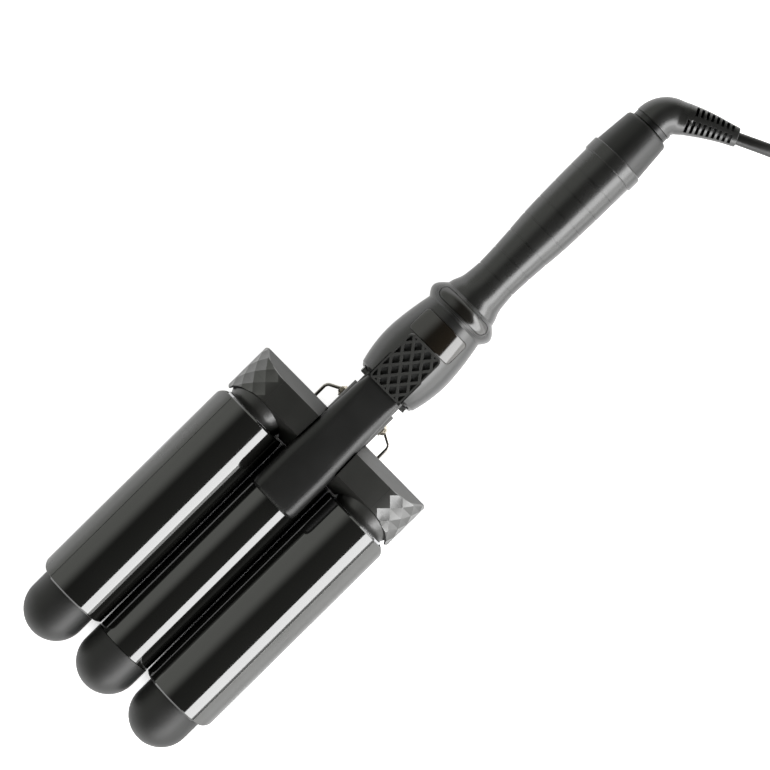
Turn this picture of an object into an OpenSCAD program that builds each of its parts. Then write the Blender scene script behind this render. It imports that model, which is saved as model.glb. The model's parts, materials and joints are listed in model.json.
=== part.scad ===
// Three-barrel hair waver with a lever-lifted middle barrel, a fold-down wire stand and a swivel cord.
// X runs from the barrel tips to the cord end, Z is up, and the table is at z = 0.

/* [Barrels] */
// Radius of each outer barrel
barrel_r = 20; // [18:0.5:22]
// Radius of the middle barrel
middle_r = 15.8; // [14:0.2:16.4]
// Running gap between the middle barrel and an outer one
barrel_gap = 0.4; // [0.3:0.1:2]
// Length of the barrels
barrel_len = 124; // [100:1:150]
// Place of the barrels' rear end
barrel_root_x = -56; // [-60:0.5:-55.5]
// Wall of the barrel shells
shell_wall = 1.5; // [1:0.1:2]
// Wall of the middle barrel tube and of the inner tubes
tube_wall = 1.2; // [0.8:0.1:2]
// Radius of the inner tube in an outer barrel
core_r = 15.6; // [13:0.1:16]
// Radius of the round tips
tip_r = 16; // [14:0.1:17]
// Straight length of the tips
tip_straight = 9.8; // [6:0.2:16]
// Half of the angle that a side guard covers
guard_angle = 52; // [35:1:60]
// How far a side guard stops short of the barrel's ends
guard_inset = 0.8; // [0.4:0.1:3]
// Corner radius of a side guard in plan
guard_corner = 5; // [2:0.5:7]
// How far the heating elements stop short of the barrels' front
heater_front_gap = 18; // [8:1:40]
// Width of the heating element
heater_w = 15; // [10:0.5:18]
// Thickness of the heating element
heater_t = 2.4; // [1.6:0.2:4]

/* [Yoke] */
// Radius of the yoke's rounded ends
yoke_r = 18.6; // [17.6:0.1:19.6]
// Length of the yoke's top along the tool
yoke_top_len = 13.9; // [10:0.1:18]
// Slope of the yoke's front face, measured along the tool
yoke_front_slope = 7.8; // [4:0.2:8]
// Slope of the yoke's rear face, measured along the tool
yoke_rear_slope = 5.5; // [3:0.1:8]
// Gap between a barrel's rear end and the yoke
yoke_gap = 1; // [0.9:0.1:4]
// Depth of the diamond pockets on the yoke's ends
diamond_depth = 0.8; // [0.3:0.1:1]
// Spacing of the diamond pockets
diamond_pitch = 8.8; // [7:0.2:10]
// Radius of a barrel collar where it leaves the barrel
collar_front_r = 14.8; // [13:0.1:15.2]
// Radius of a barrel collar in the yoke
collar_rear_r = 17.2; // [16:0.1:17.4]

/* [Neck and lever] */
// Width of the neck
neck_w = 23.4; // [20:0.2:25]
// Width over the neck's side pads
neck_pad_w = 26.4; // [26:0.2:30]
// Length of the neck's side pads behind the yoke
neck_pad_len = 18.8; // [16:0.2:20]
// Wall of the neck channel
neck_wall = 1.6; // [1.2:0.1:2.4]
// Height of the neck's top edge
neck_top_z = 31; // [29:0.2:31.4]
// Height of the neck's underside
neck_bottom_z = 7; // [5:0.5:7]
// Place of the lever pivot along the tool
pivot_x = -2.4; // [-3:0.1:-2.4]
// Height of the lever pivot
pivot_z = 28.2; // [26:0.2:28.4]
// Radius of the lever pivot pin
pivot_r = 1.6; // [1.2:0.1:2]
// Length of the lever pivot pin
pivot_len = 29.4; // [27:0.2:32]
// Length of the lever's saddle on the middle barrel
saddle_len = 22.7; // [16:0.1:30]
// Half width of the lever over the middle barrel
arm_front_half_w = 13.4; // [12:0.1:13.8]
// Half width of the lever over the yoke
arm_yoke_half_w = 12.4; // [11:0.1:13.2]
// Half width of the lever's thumb end
arm_rear_half_w = 10.2; // [9:0.1:10.4]
// Height of the lever's top over the yoke
arm_top_z = 41.4; // [40:0.1:43]
// Height of the lever's underside over the yoke and the neck
arm_under_z = 32; // [31.8:0.1:33]
// Length of the thumb pad
pad_len = 30.6; // [26:0.2:31]
// Thickness of the thumb pad
pad_t = 1.6; // [1.4:0.1:2.4]
// Upward tilt of the thumb end, in degrees
pad_tilt = 18; // [16:0.5:19]
// Depth of the pad's diamond pockets
pad_pocket = 0.9; // [0.5:0.1:1.2]
// Outer radius of the lever's return spring
spring_r = 4; // [3:0.1:4.4]
// Radius of the spring's wire
spring_wire_r = 0.45; // [0.3:0.05:0.6]
// Turns of the spring
spring_turns = 4; // [3:1:5]

/* [Stand] */
// Place of the stand's pivots along the tool
stand_x = -17; // [-19:0.1:-16]
// Height of the stand's pivots
stand_z = 10.5; // [10:0.1:11.5]
// Length of the stand's legs
stand_len = 38; // [37.4:0.2:39]
// Half width between the stand's legs
stand_half_w = 21.7; // [20.5:0.1:23]
// Radius of the stand's wire
stand_wire_r = 0.9; // [0.7:0.05:1]
// Angle of the folded stand below the level
stand_fold = 12.9; // [12:0.1:13.2]

/* [Hub and ring] */
// Place of the hub's front face
hub_front_x = -1.6; // [-1.8:0.1:0]
// Place of the joint between the hub and the ring
hub_rear_x = 45.4; // [44:0.2:50]
// Largest radius of the hub
hub_r = 20; // [19:0.1:20]
// Radius of the hub's front edge
hub_front_r = 16.6; // [16:0.1:17.8]
// Radius of the hub at the ring
hub_rear_r = 16.8; // [16:0.1:18.4]
// Wall of the hub shells
hub_wall = 2; // [1.6:0.1:2.6]
// Length of the display window along the tool
window_len = 13.8; // [10:0.2:15]
// Width of the display window
window_w = 26.4; // [20:0.2:28]
// Thickness of the display window
window_t = 1.3; // [1:0.1:1.6]
// Length of the ring along the tool
ring_len = 11.2; // [10:0.2:14]
// Radius of the ring's crest
ring_r = 19.4; // [19:0.1:20]
// Radius of the ring at the handle
ring_rear_r = 15; // [14.6:0.1:17]
// Width of the rocker's bezel along the tool
bezel_w = 9; // [8.4:0.2:9.4]
// Length of the rocker's bezel across the tool
bezel_len = 32.6; // [28:0.2:33]
// Width of the bezel's rim
bezel_rim = 1.1; // [0.8:0.1:1.4]

/* [Handle] */
// Radius of the handle's narrowest place
grip_waist_r = 11.45; // [11:0.05:13]
// Radius of the grip at the rear band
grip_rear_r = 14.25; // [13.5:0.05:15]
// Place of the rear band's front edge
band_x = 149.7; // [140:0.1:160]
// Length of the rear band
band_len = 7.2; // [5:0.1:10]
// Radius of the rear band
band_r = 15; // [14.6:0.1:16]
// Length of the end cap
cap_len = 20.7; // [16:0.1:24]
// Radius of the end cap at the band
cap_front_r = 14; // [13:0.1:14.4]
// Radius of the end cap at the cord
cap_rear_r = 12.4; // [11.6:0.1:13]
// Spacing of the grip's grooves
groove_pitch = 10.8; // [8:0.1:14]
// Number of grooves around the grip
groove_count = 7; // [5:1:8]
// Width of a groove
groove_w = 0.6; // [0.3:0.1:1]
// Depth of a groove
groove_depth = 0.4; // [0.2:0.05:0.6]
// Outer radius of the handle's inner tube
spine_r = 9.5; // [8.5:0.1:10]
// Wall of the handle's inner tube
spine_wall = 1.5; // [1:0.1:2]

/* [Cord] */
// Diameter of the cord
cord_d = 6.4; // [6:0.1:6.6]
// Radius of the swivel spindle
spindle_r = 5; // [4.4:0.1:5.4]
// Radius of the elbow at the swivel
elbow_r = 10.4; // [9.4:0.1:10.8]
// Radius of the elbow's far end
elbow_end_r = 7.3; // [6.8:0.1:7.6]
// Radius of the centre line of the elbow's bend
elbow_bend_r = 11; // [10.8:0.1:11.4]
// Radius of the strain relief's thin end
relief_end_r = 4.45; // [4:0.05:5]
// Number of slots on each side of the strain relief
slot_count = 9; // [6:1:10]
// Width of a slot
slot_w = 1.1; // [0.8:0.1:1.4]
// Turns of the stored coil
coil_turns = 7.5; // [7.5:1:7.5]
// Spacing of the coil's turns in a layer
coil_pitch = 6.9; // [6.9:0.1:7.4]
// Height between the coil's two layers
coil_rise = 6.9; // [6.9:0.1:7.4]
// Radius of the coil's innermost bend
coil_inner_r = 25.6; // [25.6:0.1:28]
// Thickness of the cord tie
tie_t = 0.8; // [0.6:0.1:1]
// Width of the cord tie
tie_w = 9; // [6:0.5:14]
// Length of the plug's body
plug_len = 34; // [28:1:40]
// Width of the plug's body
plug_w = 27; // [24:0.5:32]
// Distance between the plug's blades
blade_spacing = 12.7; // [12.7:0.1:12.7]

/* [Hidden] */
$fn = 64;

fit = 0.05;          // clearance of a turning or seated round fit
seat = 0.1;          // clearance of a seated flat or moulded piece
far = 200;           // longer than anything that a cut has to pass
axis_z = barrel_r;   // the barrels and the hub rest on the table
pitch = barrel_r + middle_r + barrel_gap;
barrel_front_x = barrel_root_x - barrel_len;
lip_h = barrel_r - tip_r;

// Yoke stations along the tool
yoke_mid_front_x = barrel_root_x + yoke_gap;
yoke_top_front_x = yoke_mid_front_x + yoke_front_slope;
yoke_top_rear_x = yoke_top_front_x + yoke_top_len;
yoke_mid_rear_x = yoke_top_rear_x + yoke_rear_slope;
yoke_top_z = axis_z + yoke_r;
yoke_bottom_z = axis_z - yoke_r;
yoke_flat = 4;
socket_depth = 10;
yoke_corner = 1.6;
notch_half_w = arm_front_half_w + 0.6;
notch_floor_z = arm_under_z - 0.6;
groove_half_w = stand_wire_r + 0.7;

// Neck
neck_front_x = yoke_mid_rear_x - 3;
neck_rear_x = 5;
neck_pad_x = yoke_mid_rear_x + neck_pad_len;
neck_radius = 5;
neck_floor_z = neck_bottom_z + 3;
neck_lead_r = 1;
neck_lead_pitch = 2 * neck_lead_r + seat;
neck_leads_half_w = neck_lead_pitch + neck_lead_r + seat;
ear_r = 3;

// Lever
lug_half_w = neck_w / 2 - neck_wall - 0.3;
lug_r = 3.4;
arm_edge_r = 6;
saddle_rear_x = yoke_mid_front_x - 0.6;
arm_front_x = barrel_root_x - saddle_len;
rivet_r = 1.2;
rivet_head_r = rivet_r + 1;
rivet_xs = [arm_front_x + 5, barrel_root_x - 10.6];
heater_front_x = barrel_front_x + heater_front_gap;
heater_rear_x = rivet_xs[0] - rivet_head_r - 1;
pad_edge = 0.9;
pad_cell_x = 8.2;
pad_cell_y = 6.3;
pad_rib = 1.15;
pad_corner = 2.6;
pad_front_x = pivot_x + 0.3;
paddle_t = 2.4;
paddle_top_z = arm_top_z - 0.2;
spring_x = pad_front_x + 0.52 * pad_len;
spring_play = 1.3;   // room for the spigot, which swings back as the thumb end goes down

// Hub
hub_crest_x = 20.4;
hub_edge = 2;
slot_half_w = arm_rear_half_w + 0.5;
slot_floor_z = neck_top_z + 0.2;
window_x = 34.2;
window_corner = 2;
board_z = 15;
board_t = 1.6;

// Ring
ring_rear_x = hub_rear_x + ring_len;
ring_mid_x = hub_rear_x + 0.545 * ring_len;
rocker_pivot_z = axis_z + 13;
rocker_pin_r = 1;
rocker_pin_len = 5.2;
rocker_stem = 2.4;
rocker_gap = 0.3;
rocker_travel = 1;
rocker_floor_r = ring_r - 5;

// Handle
spine_front_x = hub_rear_x - 6;
spine_rear_x = band_x + band_len + 4;
cap_x = band_x + band_len;
cap_end_x = cap_x + cap_len;
joint_gap = 0.4;
bush_r = 7.2;
bush_len = 8;
flange_r = 6.6;

// Elbow and cord: the route's points are chosen by hand
cord_r = cord_d / 2;
elbow_x = cap_end_x + joint_gap + 2.8;
bend_x = 189;
cord_step = [2, -4.2];
exit_point = [205, -33.6, 20];
lead_heights = [20, 20, 20, 19.8, 19.1, 17.8, 15.9, 13.6, 11.1, 8.8, 6.9, 5.5, 4.6, 4.2];
lead_points = [
    for (i = [0:len(lead_heights) - 1])
        [exit_point[0] + i * cord_step[0], exit_point[1] + i * cord_step[1], lead_heights[i]]
];
cord_angle = atan2(cord_step[1], cord_step[0]);
cord_dir = [cos(cord_angle), sin(cord_angle), 0];
relief_start = 13.4;
relief_len = norm([exit_point[0] - bend_x, exit_point[1]]) - relief_start;
slot_pitch = (relief_len - 3) / slot_count;
spine_turn = 18;

// Coil: a spiral in, a climb while it turns back, and a spiral out
coil_sides = 6;
loop_rings = 24;
coil_steps = coil_turns * loop_rings;
coil_outer_r = coil_inner_r + coil_pitch * coil_turns / 2;
coil_bottom_z = lead_heights[len(lead_heights) - 1];
coil_start = lead_points[len(lead_points) - 1];
tie_angle = 95;
tie_gap = 0.2;
plug_tail = 14;

function turned_back(turn) = abs(turn - coil_turns / 2);
function climb(turn) = let (t = (turn - coil_turns / 2) * 2 + 0.5) max(0, min(1, t));
function spiral_r(turn) = coil_inner_r + coil_pitch * turned_back(turn);
// The coil in its own frame: it starts at the origin, heading along +X, and turns left
function spiral_point(turn) = let (a = 360 * turn - 90, r = spiral_r(turn))
    [cord_d + r * cos(a), coil_outer_r + r * sin(a), coil_rise * climb(turn)];
function spiral_heading(turn, side) = let (
    step = 0.01,
    d = spiral_point(turn + side * step) - spiral_point(turn)
) side * d / norm(d);
coil_local = concat(
    [spiral_point(0) - cord_d * spiral_heading(0, 1)],
    [for (i = [0:coil_steps]) spiral_point(i / loop_rings)],
    [spiral_point(coil_turns) + plug_tail * spiral_heading(coil_turns, -1)]
);
coil_turn_in = cord_angle - atan2(spiral_heading(0, 1)[1], spiral_heading(0, 1)[0]);

function spin(p, a) = [p[0] * cos(a) - p[1] * sin(a), p[0] * sin(a) + p[1] * cos(a), p[2]];
coil_points = [for (p = coil_local) coil_start + spin(p - coil_local[0], coil_turn_in)];
coil_end = coil_points[len(coil_points) - 1];
coil_end_dir = let (d = coil_end - coil_points[len(coil_points) - 2]) d / norm(d);
coil_end_angle = atan2(coil_end_dir[1], coil_end_dir[0]);
coil_centre = coil_start + spin([cord_d, coil_outer_r, 0] - coil_local[0], coil_turn_in);

// Least distance between centre lines of turns that lie more than a third of a loop apart
coil_gap = min([
    for (i = [0:2:len(coil_points) - 1])
        for (j = [i + loop_rings / 3:1:len(coil_points) - 1])
            norm(coil_points[i] - coil_points[j])
]) - cord_d;
echo(coil_self_gap = coil_gap);

// Shapes ---------------------------------------------------------------

// A solid of revolution about the X axis from [x, radius] points
module turned(profile) {
    rotate([0, 90, 0])
        rotate_extrude()
            polygon([for (p = profile) [p[1], p[0]]]);
}

// A round bar along X
module bar_x(x0, x1, r) {
    translate([x0, 0, 0])
        rotate([0, 90, 0])
            cylinder(r = r, h = x1 - x0);
}

// A round bar along Y
module bar_y(y0, y1, r) {
    translate([0, y0, 0])
        rotate([-90, 0, 0])
            cylinder(r = r, h = y1 - y0);
}

// A block between two corners
module block(low, high) {
    translate(low)
        cube(high - low);
}

// A rectangle with round corners, about its middle
module round_rect(w, h, r) {
    square([w - 2 * r, h], center = true);
    square([w, h - 2 * r], center = true);
    for (sx = [-1, 1])
        for (sy = [-1, 1])
            translate([sx * (w / 2 - r), sy * (h / 2 - r)])
                circle(r);
}

// An XZ outline carried across the tool
module across(outline, half_w) {
    rotate([90, 0, 0])
        linear_extrude(height = 2 * half_w, center = true)
            polygon(outline);
}

// A skin over rings of points, closed at both ends
module skin(rings) {
    n = len(rings[0]);
    last = len(rings) - 1;
    polyhedron(
        points = [for (ring = rings) each ring],
        faces = concat(
            [[for (j = [0:n - 1]) j]],
            [[for (j = [0:n - 1]) last * n + n - 1 - j]],
            [for (i = [0:last - 1]) for (j = [0:n - 1])
                [i * n + j, (i + 1) * n + j, (i + 1) * n + (j + 1) % n]],
            [for (i = [0:last - 1]) for (j = [0:n - 1])
                [i * n + j, (i + 1) * n + (j + 1) % n, i * n + (j + 1) % n]]
        )
    );
}

function unit(v) = v / norm(v);
function ring_at(p, dir, r, sides) = let (
    n = unit(cross([0, 0, 1], dir)),
    b = cross(dir, n)
) [for (k = [0:sides - 1]) p + r * (cos(360 * (k + 0.5) / sides) * n + sin(360 * (k + 0.5) / sides) * b)];
function path_dir(points, i) = unit(points[min(i + 1, len(points) - 1)] - points[max(i - 1, 0)]);

// A round tube along a list of points
module swept(points, r, sides) {
    skin([for (i = [0:len(points) - 1]) ring_at(points[i], path_dir(points, i), r, sides)]);
}

// Barrels --------------------------------------------------------------

// The wedge of an outer barrel that its side guard closes
module guard_wedge(side, angle) {
    rotate([90, 0, 90])
        linear_extrude(height = far * 2, center = true)
            polygon([
                [0, 0],
                [side * barrel_r * 1.5, barrel_r * 1.5 * tan(angle)],
                [side * barrel_r * 1.5, -barrel_r * 1.5 * tan(angle)]
            ]);
}

// A glossy shell with its ends turned in, open where the side guard sits
module outer_barrel(side) {
    inner = barrel_r - shell_wall;
    edge = shell_wall * 0.6;
    translate([0, side * pitch, axis_z])
        difference() {
            turned([
                [barrel_front_x, tip_r + seat],
                [barrel_front_x, barrel_r - edge],
                [barrel_front_x + edge, barrel_r],
                [barrel_root_x - edge, barrel_r],
                [barrel_root_x, barrel_r - edge],
                [barrel_root_x, tip_r + seat],
                [barrel_root_x - shell_wall, tip_r + seat],
                [barrel_root_x - shell_wall, inner],
                [barrel_front_x + shell_wall, inner],
                [barrel_front_x + shell_wall, tip_r + seat]
            ]);
            guard_wedge(side, guard_angle);
        }
}

// The satin guard on a barrel's outer flank, with round corners in plan
module side_guard(side) {
    guard_len = barrel_len - 2 * guard_inset;
    inset_angle = asin(seat / barrel_r);
    translate([0, side * pitch, axis_z])
        intersection() {
            turned([
                [barrel_front_x + guard_inset, barrel_r - shell_wall],
                [barrel_front_x + guard_inset, barrel_r],
                [barrel_root_x - guard_inset, barrel_r],
                [barrel_root_x - guard_inset, barrel_r - shell_wall]
            ]);
            guard_wedge(side, guard_angle - inset_angle);
            translate([barrel_front_x + guard_inset + guard_len / 2, 0, -barrel_r])
                linear_extrude(height = 2 * barrel_r)
                    round_rect(guard_len, 2 * barrel_r, guard_corner);
        }
}

// The inner tube of an outer barrel, with the flanges that carry the shell and the guard
module barrel_core(side) {
    flange_t = 2;
    flange_in = guard_inset + guard_corner + 1;
    translate([0, side * pitch, axis_z])
        difference() {
            union() {
                bar_x(barrel_front_x, barrel_root_x, core_r);
                for (x = [barrel_front_x + flange_in, barrel_root_x - flange_in - flange_t])
                    bar_x(x, x + flange_t, barrel_r - shell_wall - fit);
            }
            bar_x(barrel_front_x - 1, barrel_root_x + 1, core_r - tube_wall);
        }
}

module middle_barrel() {
    translate([0, 0, axis_z])
        difference() {
            bar_x(barrel_front_x, barrel_root_x, middle_r);
            bar_x(barrel_front_x - 1, barrel_root_x + 1, middle_r - tube_wall);
            for (x = rivet_xs)
                translate([x, 0, 0])
                    cylinder(r = rivet_r + fit, h = far);
        }
}

// A round heat-proof tip with a spigot that plugs into the tube behind it
module barrel_tip(y, bore_r) {
    spigot = 6;
    base_x = barrel_front_x - tip_straight;
    translate([0, y, axis_z]) {
        translate([base_x, 0, 0])
            sphere(r = tip_r, $fn = 96);
        bar_x(base_x, barrel_front_x, tip_r);
        bar_x(barrel_front_x, barrel_front_x + spigot, bore_r - fit);
    }
}

module heater(y) {
    translate([0, y, axis_z])
        block([heater_front_x, -heater_w / 2, -heater_t / 2], [heater_rear_x, heater_w / 2, heater_t / 2]);
}

// Two half-round aluminium bars that press the element against the tube
module heat_spreader(y, bore_r) {
    translate([0, y, axis_z])
        for (up = [-1, 1])
            intersection() {
                bar_x(heater_front_x, heater_rear_x, bore_r - fit);
                translate([0, 0, up * (far / 2 + heater_t / 2 + fit)])
                    cube([2 * far, far, far], center = true);
            }
}

// The flared collar between an outer barrel and the yoke
module barrel_collar(side) {
    spigot = 8;
    flare_x = yoke_mid_front_x + 5.8;
    translate([0, side * pitch, axis_z])
        turned([
            [barrel_root_x - spigot, 0],
            [barrel_root_x - spigot, core_r - tube_wall - fit],
            [barrel_root_x, core_r - tube_wall - fit],
            [barrel_root_x, collar_front_r],
            [flare_x - 3, (collar_front_r + collar_rear_r) / 2 + 0.5],
            [flare_x, collar_rear_r],
            [yoke_mid_front_x + socket_depth, collar_rear_r],
            [yoke_mid_front_x + socket_depth, 0]
        ]);
}

// The plug in the middle barrel's rear end, which the lever holds
module middle_collar() {
    spigot = 8;
    translate([0, 0, axis_z]) {
        bar_x(barrel_root_x - spigot, barrel_root_x, middle_r - tube_wall - fit);
        bar_x(barrel_root_x, saddle_rear_x, middle_r - 0.2);
    }
}

// Yoke -----------------------------------------------------------------

// One rounded end with diamond pockets: points on a grid, where every other one is sunk
module diamond_end() {
    half = diamond_pitch / 2;
    mid_x = yoke_top_front_x + yoke_top_len / 2;
    columns = 4;
    rows = 5;
    row_angle = 14;
    angles = concat([-90], [for (j = [-rows - 1:rows + 1]) j * row_angle], [90]);
    n = len(angles) + 2;
    function sunk(i, j) = (i + j) % 2 == 0 && abs(i) < columns && j != 0 && abs(j) <= rows;
    function end_ring(i) = concat(
        [
            for (k = [0:n - 3])
                let (r = yoke_r - (sunk(i, k - rows - 2) ? diamond_depth : 0))
                    [mid_x + i * half, r * cos(angles[k]), r * sin(angles[k])]
        ],
        [[mid_x + i * half, -1, yoke_r], [mid_x + i * half, -1, -yoke_r]]
    );
    function at(i, k) = (i + columns) * n + k % n;
    translate([0, pitch, axis_z])
        polyhedron(
            points = [for (i = [-columns:columns]) each end_ring(i)],
            faces = concat(
                [[for (k = [0:n - 1]) at(-columns, k)]],
                [[for (k = [0:n - 1]) at(columns, n - 1 - k)]],
                [
                    for (i = [-columns:columns - 1])
                        for (k = [0:n - 1])
                            each (i + k - rows) % 2 == 0
                                ? [[at(i, k), at(i + 1, k), at(i, k + 1)],
                                   [at(i + 1, k), at(i + 1, k + 1), at(i, k + 1)]]
                                : [[at(i, k), at(i + 1, k), at(i + 1, k + 1)],
                                   [at(i, k), at(i + 1, k + 1), at(i, k + 1)]]
                ]
            )
        );
}

module yoke_blank() {
    intersection() {
        union() {
            block([-far, -pitch, yoke_bottom_z], [0, pitch, yoke_top_z]);
            for (side = [0, 1])
                mirror([0, side, 0])
                    diamond_end();
        }
        across([
            [yoke_top_front_x, yoke_top_z],
            [yoke_mid_front_x, axis_z + yoke_flat],
            [yoke_mid_front_x, axis_z - yoke_flat],
            [yoke_top_front_x, yoke_bottom_z],
            [yoke_top_rear_x, yoke_bottom_z],
            [yoke_mid_rear_x, axis_z - yoke_flat],
            [yoke_mid_rear_x, axis_z + yoke_flat],
            [yoke_top_rear_x, yoke_top_z]
        ], far);
        translate([(yoke_mid_front_x + yoke_mid_rear_x) / 2, 0, 0])
            linear_extrude(height = far)
                round_rect(yoke_mid_rear_x - yoke_mid_front_x, 2 * (pitch + yoke_r), yoke_corner);
    }
}

module yoke_cuts() {
    // Sockets for the collars
    for (side = [-1, 1])
        translate([0, side * pitch, axis_z])
            bar_x(yoke_mid_front_x - far, yoke_mid_front_x + socket_depth, collar_rear_r + fit);
    // Duct for the wiring between the sockets and the neck
    block(
        [yoke_mid_front_x + socket_depth - 1, -pitch - 6, axis_z - 6],
        [yoke_top_rear_x - 2, pitch + 6, axis_z + 4]
    );
    block(
        [yoke_top_rear_x - 3, -8, neck_floor_z],
        [neck_front_x + 1, 8, axis_z + 4]
    );
    // Seat for the neck
    block(
        [neck_front_x, -neck_w / 2 - seat, neck_bottom_z - seat],
        [far, neck_w / 2 + seat, neck_top_z + seat]
    );
    // Notch that the lever rests in
    block([-far, -notch_half_w, notch_floor_z], [0, notch_half_w, far]);
    // Grooves for the folded stand's legs
    for (side = [-1, 1])
        translate([stand_x, side * stand_half_w, stand_z])
            rotate([0, -stand_fold, 0])
                block([-far, -groove_half_w, -far], [0, groove_half_w, stand_wire_r + 0.5]);
}

yoke_screw_xs = [yoke_top_front_x + yoke_top_len / 2];
yoke_screw_ys = [-pitch + 8, -notch_half_w - 1, notch_half_w + 1, pitch - 8];
screw_r = 1.5;
screw_head_r = 2.8;
screw_head_t = 1.8;
screw_len = 16;

module screw_holes(points, base_z, length) {
    for (p = points)
        translate([p[0], p[1], base_z - 1]) {
            cylinder(r = screw_r + fit, h = length + 1.2);
            cylinder(r = screw_head_r + seat, h = screw_head_t + 1);
        }
}

// Cross-headed screws driven up from below
module screws(points, base_z, length) {
    for (p = points)
        translate([p[0], p[1], base_z])
            difference() {
                union() {
                    cylinder(r = screw_head_r, h = screw_head_t - seat);
                    cylinder(r = screw_r, h = length);
                }
                for (a = [0, 90])
                    rotate([0, 0, a])
                        cube([0.7, 3.4, 1.6], center = true);
            }
}

yoke_screw_points = [for (y = yoke_screw_ys) [yoke_screw_xs[0], y]];
yoke_screw_z = yoke_bottom_z + 1;

module yoke_half(up) {
    difference() {
        intersection() {
            yoke_blank();
            translate([0, 0, axis_z + up * far / 2])
                cube([2 * far, 2 * far, far], center = true);
        }
        yoke_cuts();
        screw_holes(yoke_screw_points, yoke_screw_z, screw_len);
    }
}

// Neck -----------------------------------------------------------------

// An open channel that joins the yoke to the hub and holds both pivots
module neck_body() {
    difference() {
        union() {
            intersection() {
                translate([0, 0, (neck_top_z + neck_bottom_z) / 2])
                    rotate([90, 0, 90])
                        linear_extrude(height = 2 * far, center = true)
                            round_rect(neck_w, neck_top_z - neck_bottom_z, neck_wall);
                block([neck_front_x, -far, 0], [neck_rear_x, far, far]);
            }
            // Side pads that thicken the neck where the stand pivots
            translate([0, 0, (neck_top_z + neck_bottom_z) / 2])
                rotate([90, 0, 90])
                    translate([0, 0, yoke_mid_rear_x + 0.2])
                        linear_extrude(height = neck_pad_x - yoke_mid_rear_x)
                            round_rect(neck_pad_w, neck_top_z - neck_bottom_z - 1, neck_radius);
        }
        // The channel, open at the top under the lever
        block(
            [neck_front_x - 1, -neck_w / 2 + neck_wall, neck_floor_z],
            [neck_rear_x + 1, neck_w / 2 - neck_wall, far]
        );
        // Pin hole
        translate([pivot_x, 0, pivot_z])
            bar_y(-far, far, pivot_r + fit);
        // Holes for the stand's wire ends
        for (side = [-1, 1])
            translate([stand_x, 0, stand_z])
                mirror([0, side < 0 ? 1 : 0, 0])
                    bar_y(neck_w / 2 - neck_wall + 0.6, far, stand_wire_r + fit);
    }
}

// The hinge pin, with domed ends that show on both sides
module lever_pin() {
    head = 0.5;
    translate([pivot_x, 0, pivot_z])
        rotate([90, 0, 0])
            rotate_extrude()
                polygon([
                    [0, -pivot_len / 2],
                    [pivot_r - head, -pivot_len / 2],
                    [pivot_r, -pivot_len / 2 + head],
                    [pivot_r, pivot_len / 2 - head],
                    [pivot_r - head, pivot_len / 2],
                    [0, pivot_len / 2]
                ]);
}

// Leads from the board along the channel's floor to the three barrels
module channel_leads() {
    for (k = [-1:1])
        translate([0, k * neck_lead_pitch, neck_floor_z + neck_lead_r + seat])
            bar_x(yoke_top_rear_x - 2, neck_rear_x + 9, neck_lead_r);
}

// Lever ----------------------------------------------------------------

// The lever's outline across the tool at one station
function lever_ring(x, half_w, top_z, low_z, edge, tilt) = let (
    n = 6,
    right = [for (k = [0:n]) [half_w - edge + edge * cos(90 * k / n), top_z - edge + edge * sin(90 * k / n)]],
    left = [for (k = [0:n]) [-half_w + edge - edge * sin(90 * k / n), top_z - edge + edge * cos(90 * k / n)]]
) [for (p = concat([[half_w, low_z]], right, left, [[-half_w, low_z]])) [x + tilt * (p[1] - top_z), p[0], p[1]]];

function slope_z(x) = (x - pivot_x) * tan(pad_tilt);

module lever_skin() {
    front = arm_front_x;
    crown = arm_top_z - 0.6;
    low = axis_z + 5;
    skin([
        lever_ring(front, arm_front_half_w - 2.6, crown - 3, low, arm_edge_r - 1, 0),
        lever_ring(front + 0.5, arm_front_half_w - 1.3, crown - 1.6, low, arm_edge_r, 0),
        lever_ring(front + 1.6, arm_front_half_w - 0.4, crown - 0.6, low, arm_edge_r, 0),
        lever_ring(front + 3.6, arm_front_half_w, crown, low, arm_edge_r, 0),
        lever_ring(saddle_rear_x, arm_front_half_w, arm_top_z - 0.2, low, arm_edge_r, 0)
    ]);
    skin([
        lever_ring(saddle_rear_x - 0.4, arm_front_half_w, arm_top_z - 0.2, arm_under_z, arm_edge_r, 0),
        lever_ring(yoke_top_front_x, arm_front_half_w - 0.3, arm_top_z, arm_under_z, arm_edge_r, 0),
        lever_ring(yoke_mid_rear_x, arm_yoke_half_w, arm_top_z, arm_under_z, arm_edge_r, 0),
        lever_ring(neck_pad_x, (arm_yoke_half_w + arm_rear_half_w) / 2, arm_top_z, arm_under_z, arm_edge_r - 2, 0),
        lever_ring(pivot_x, arm_rear_half_w, arm_top_z - pad_t, arm_under_z, 1.6, 0)
    ]);
}

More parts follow.
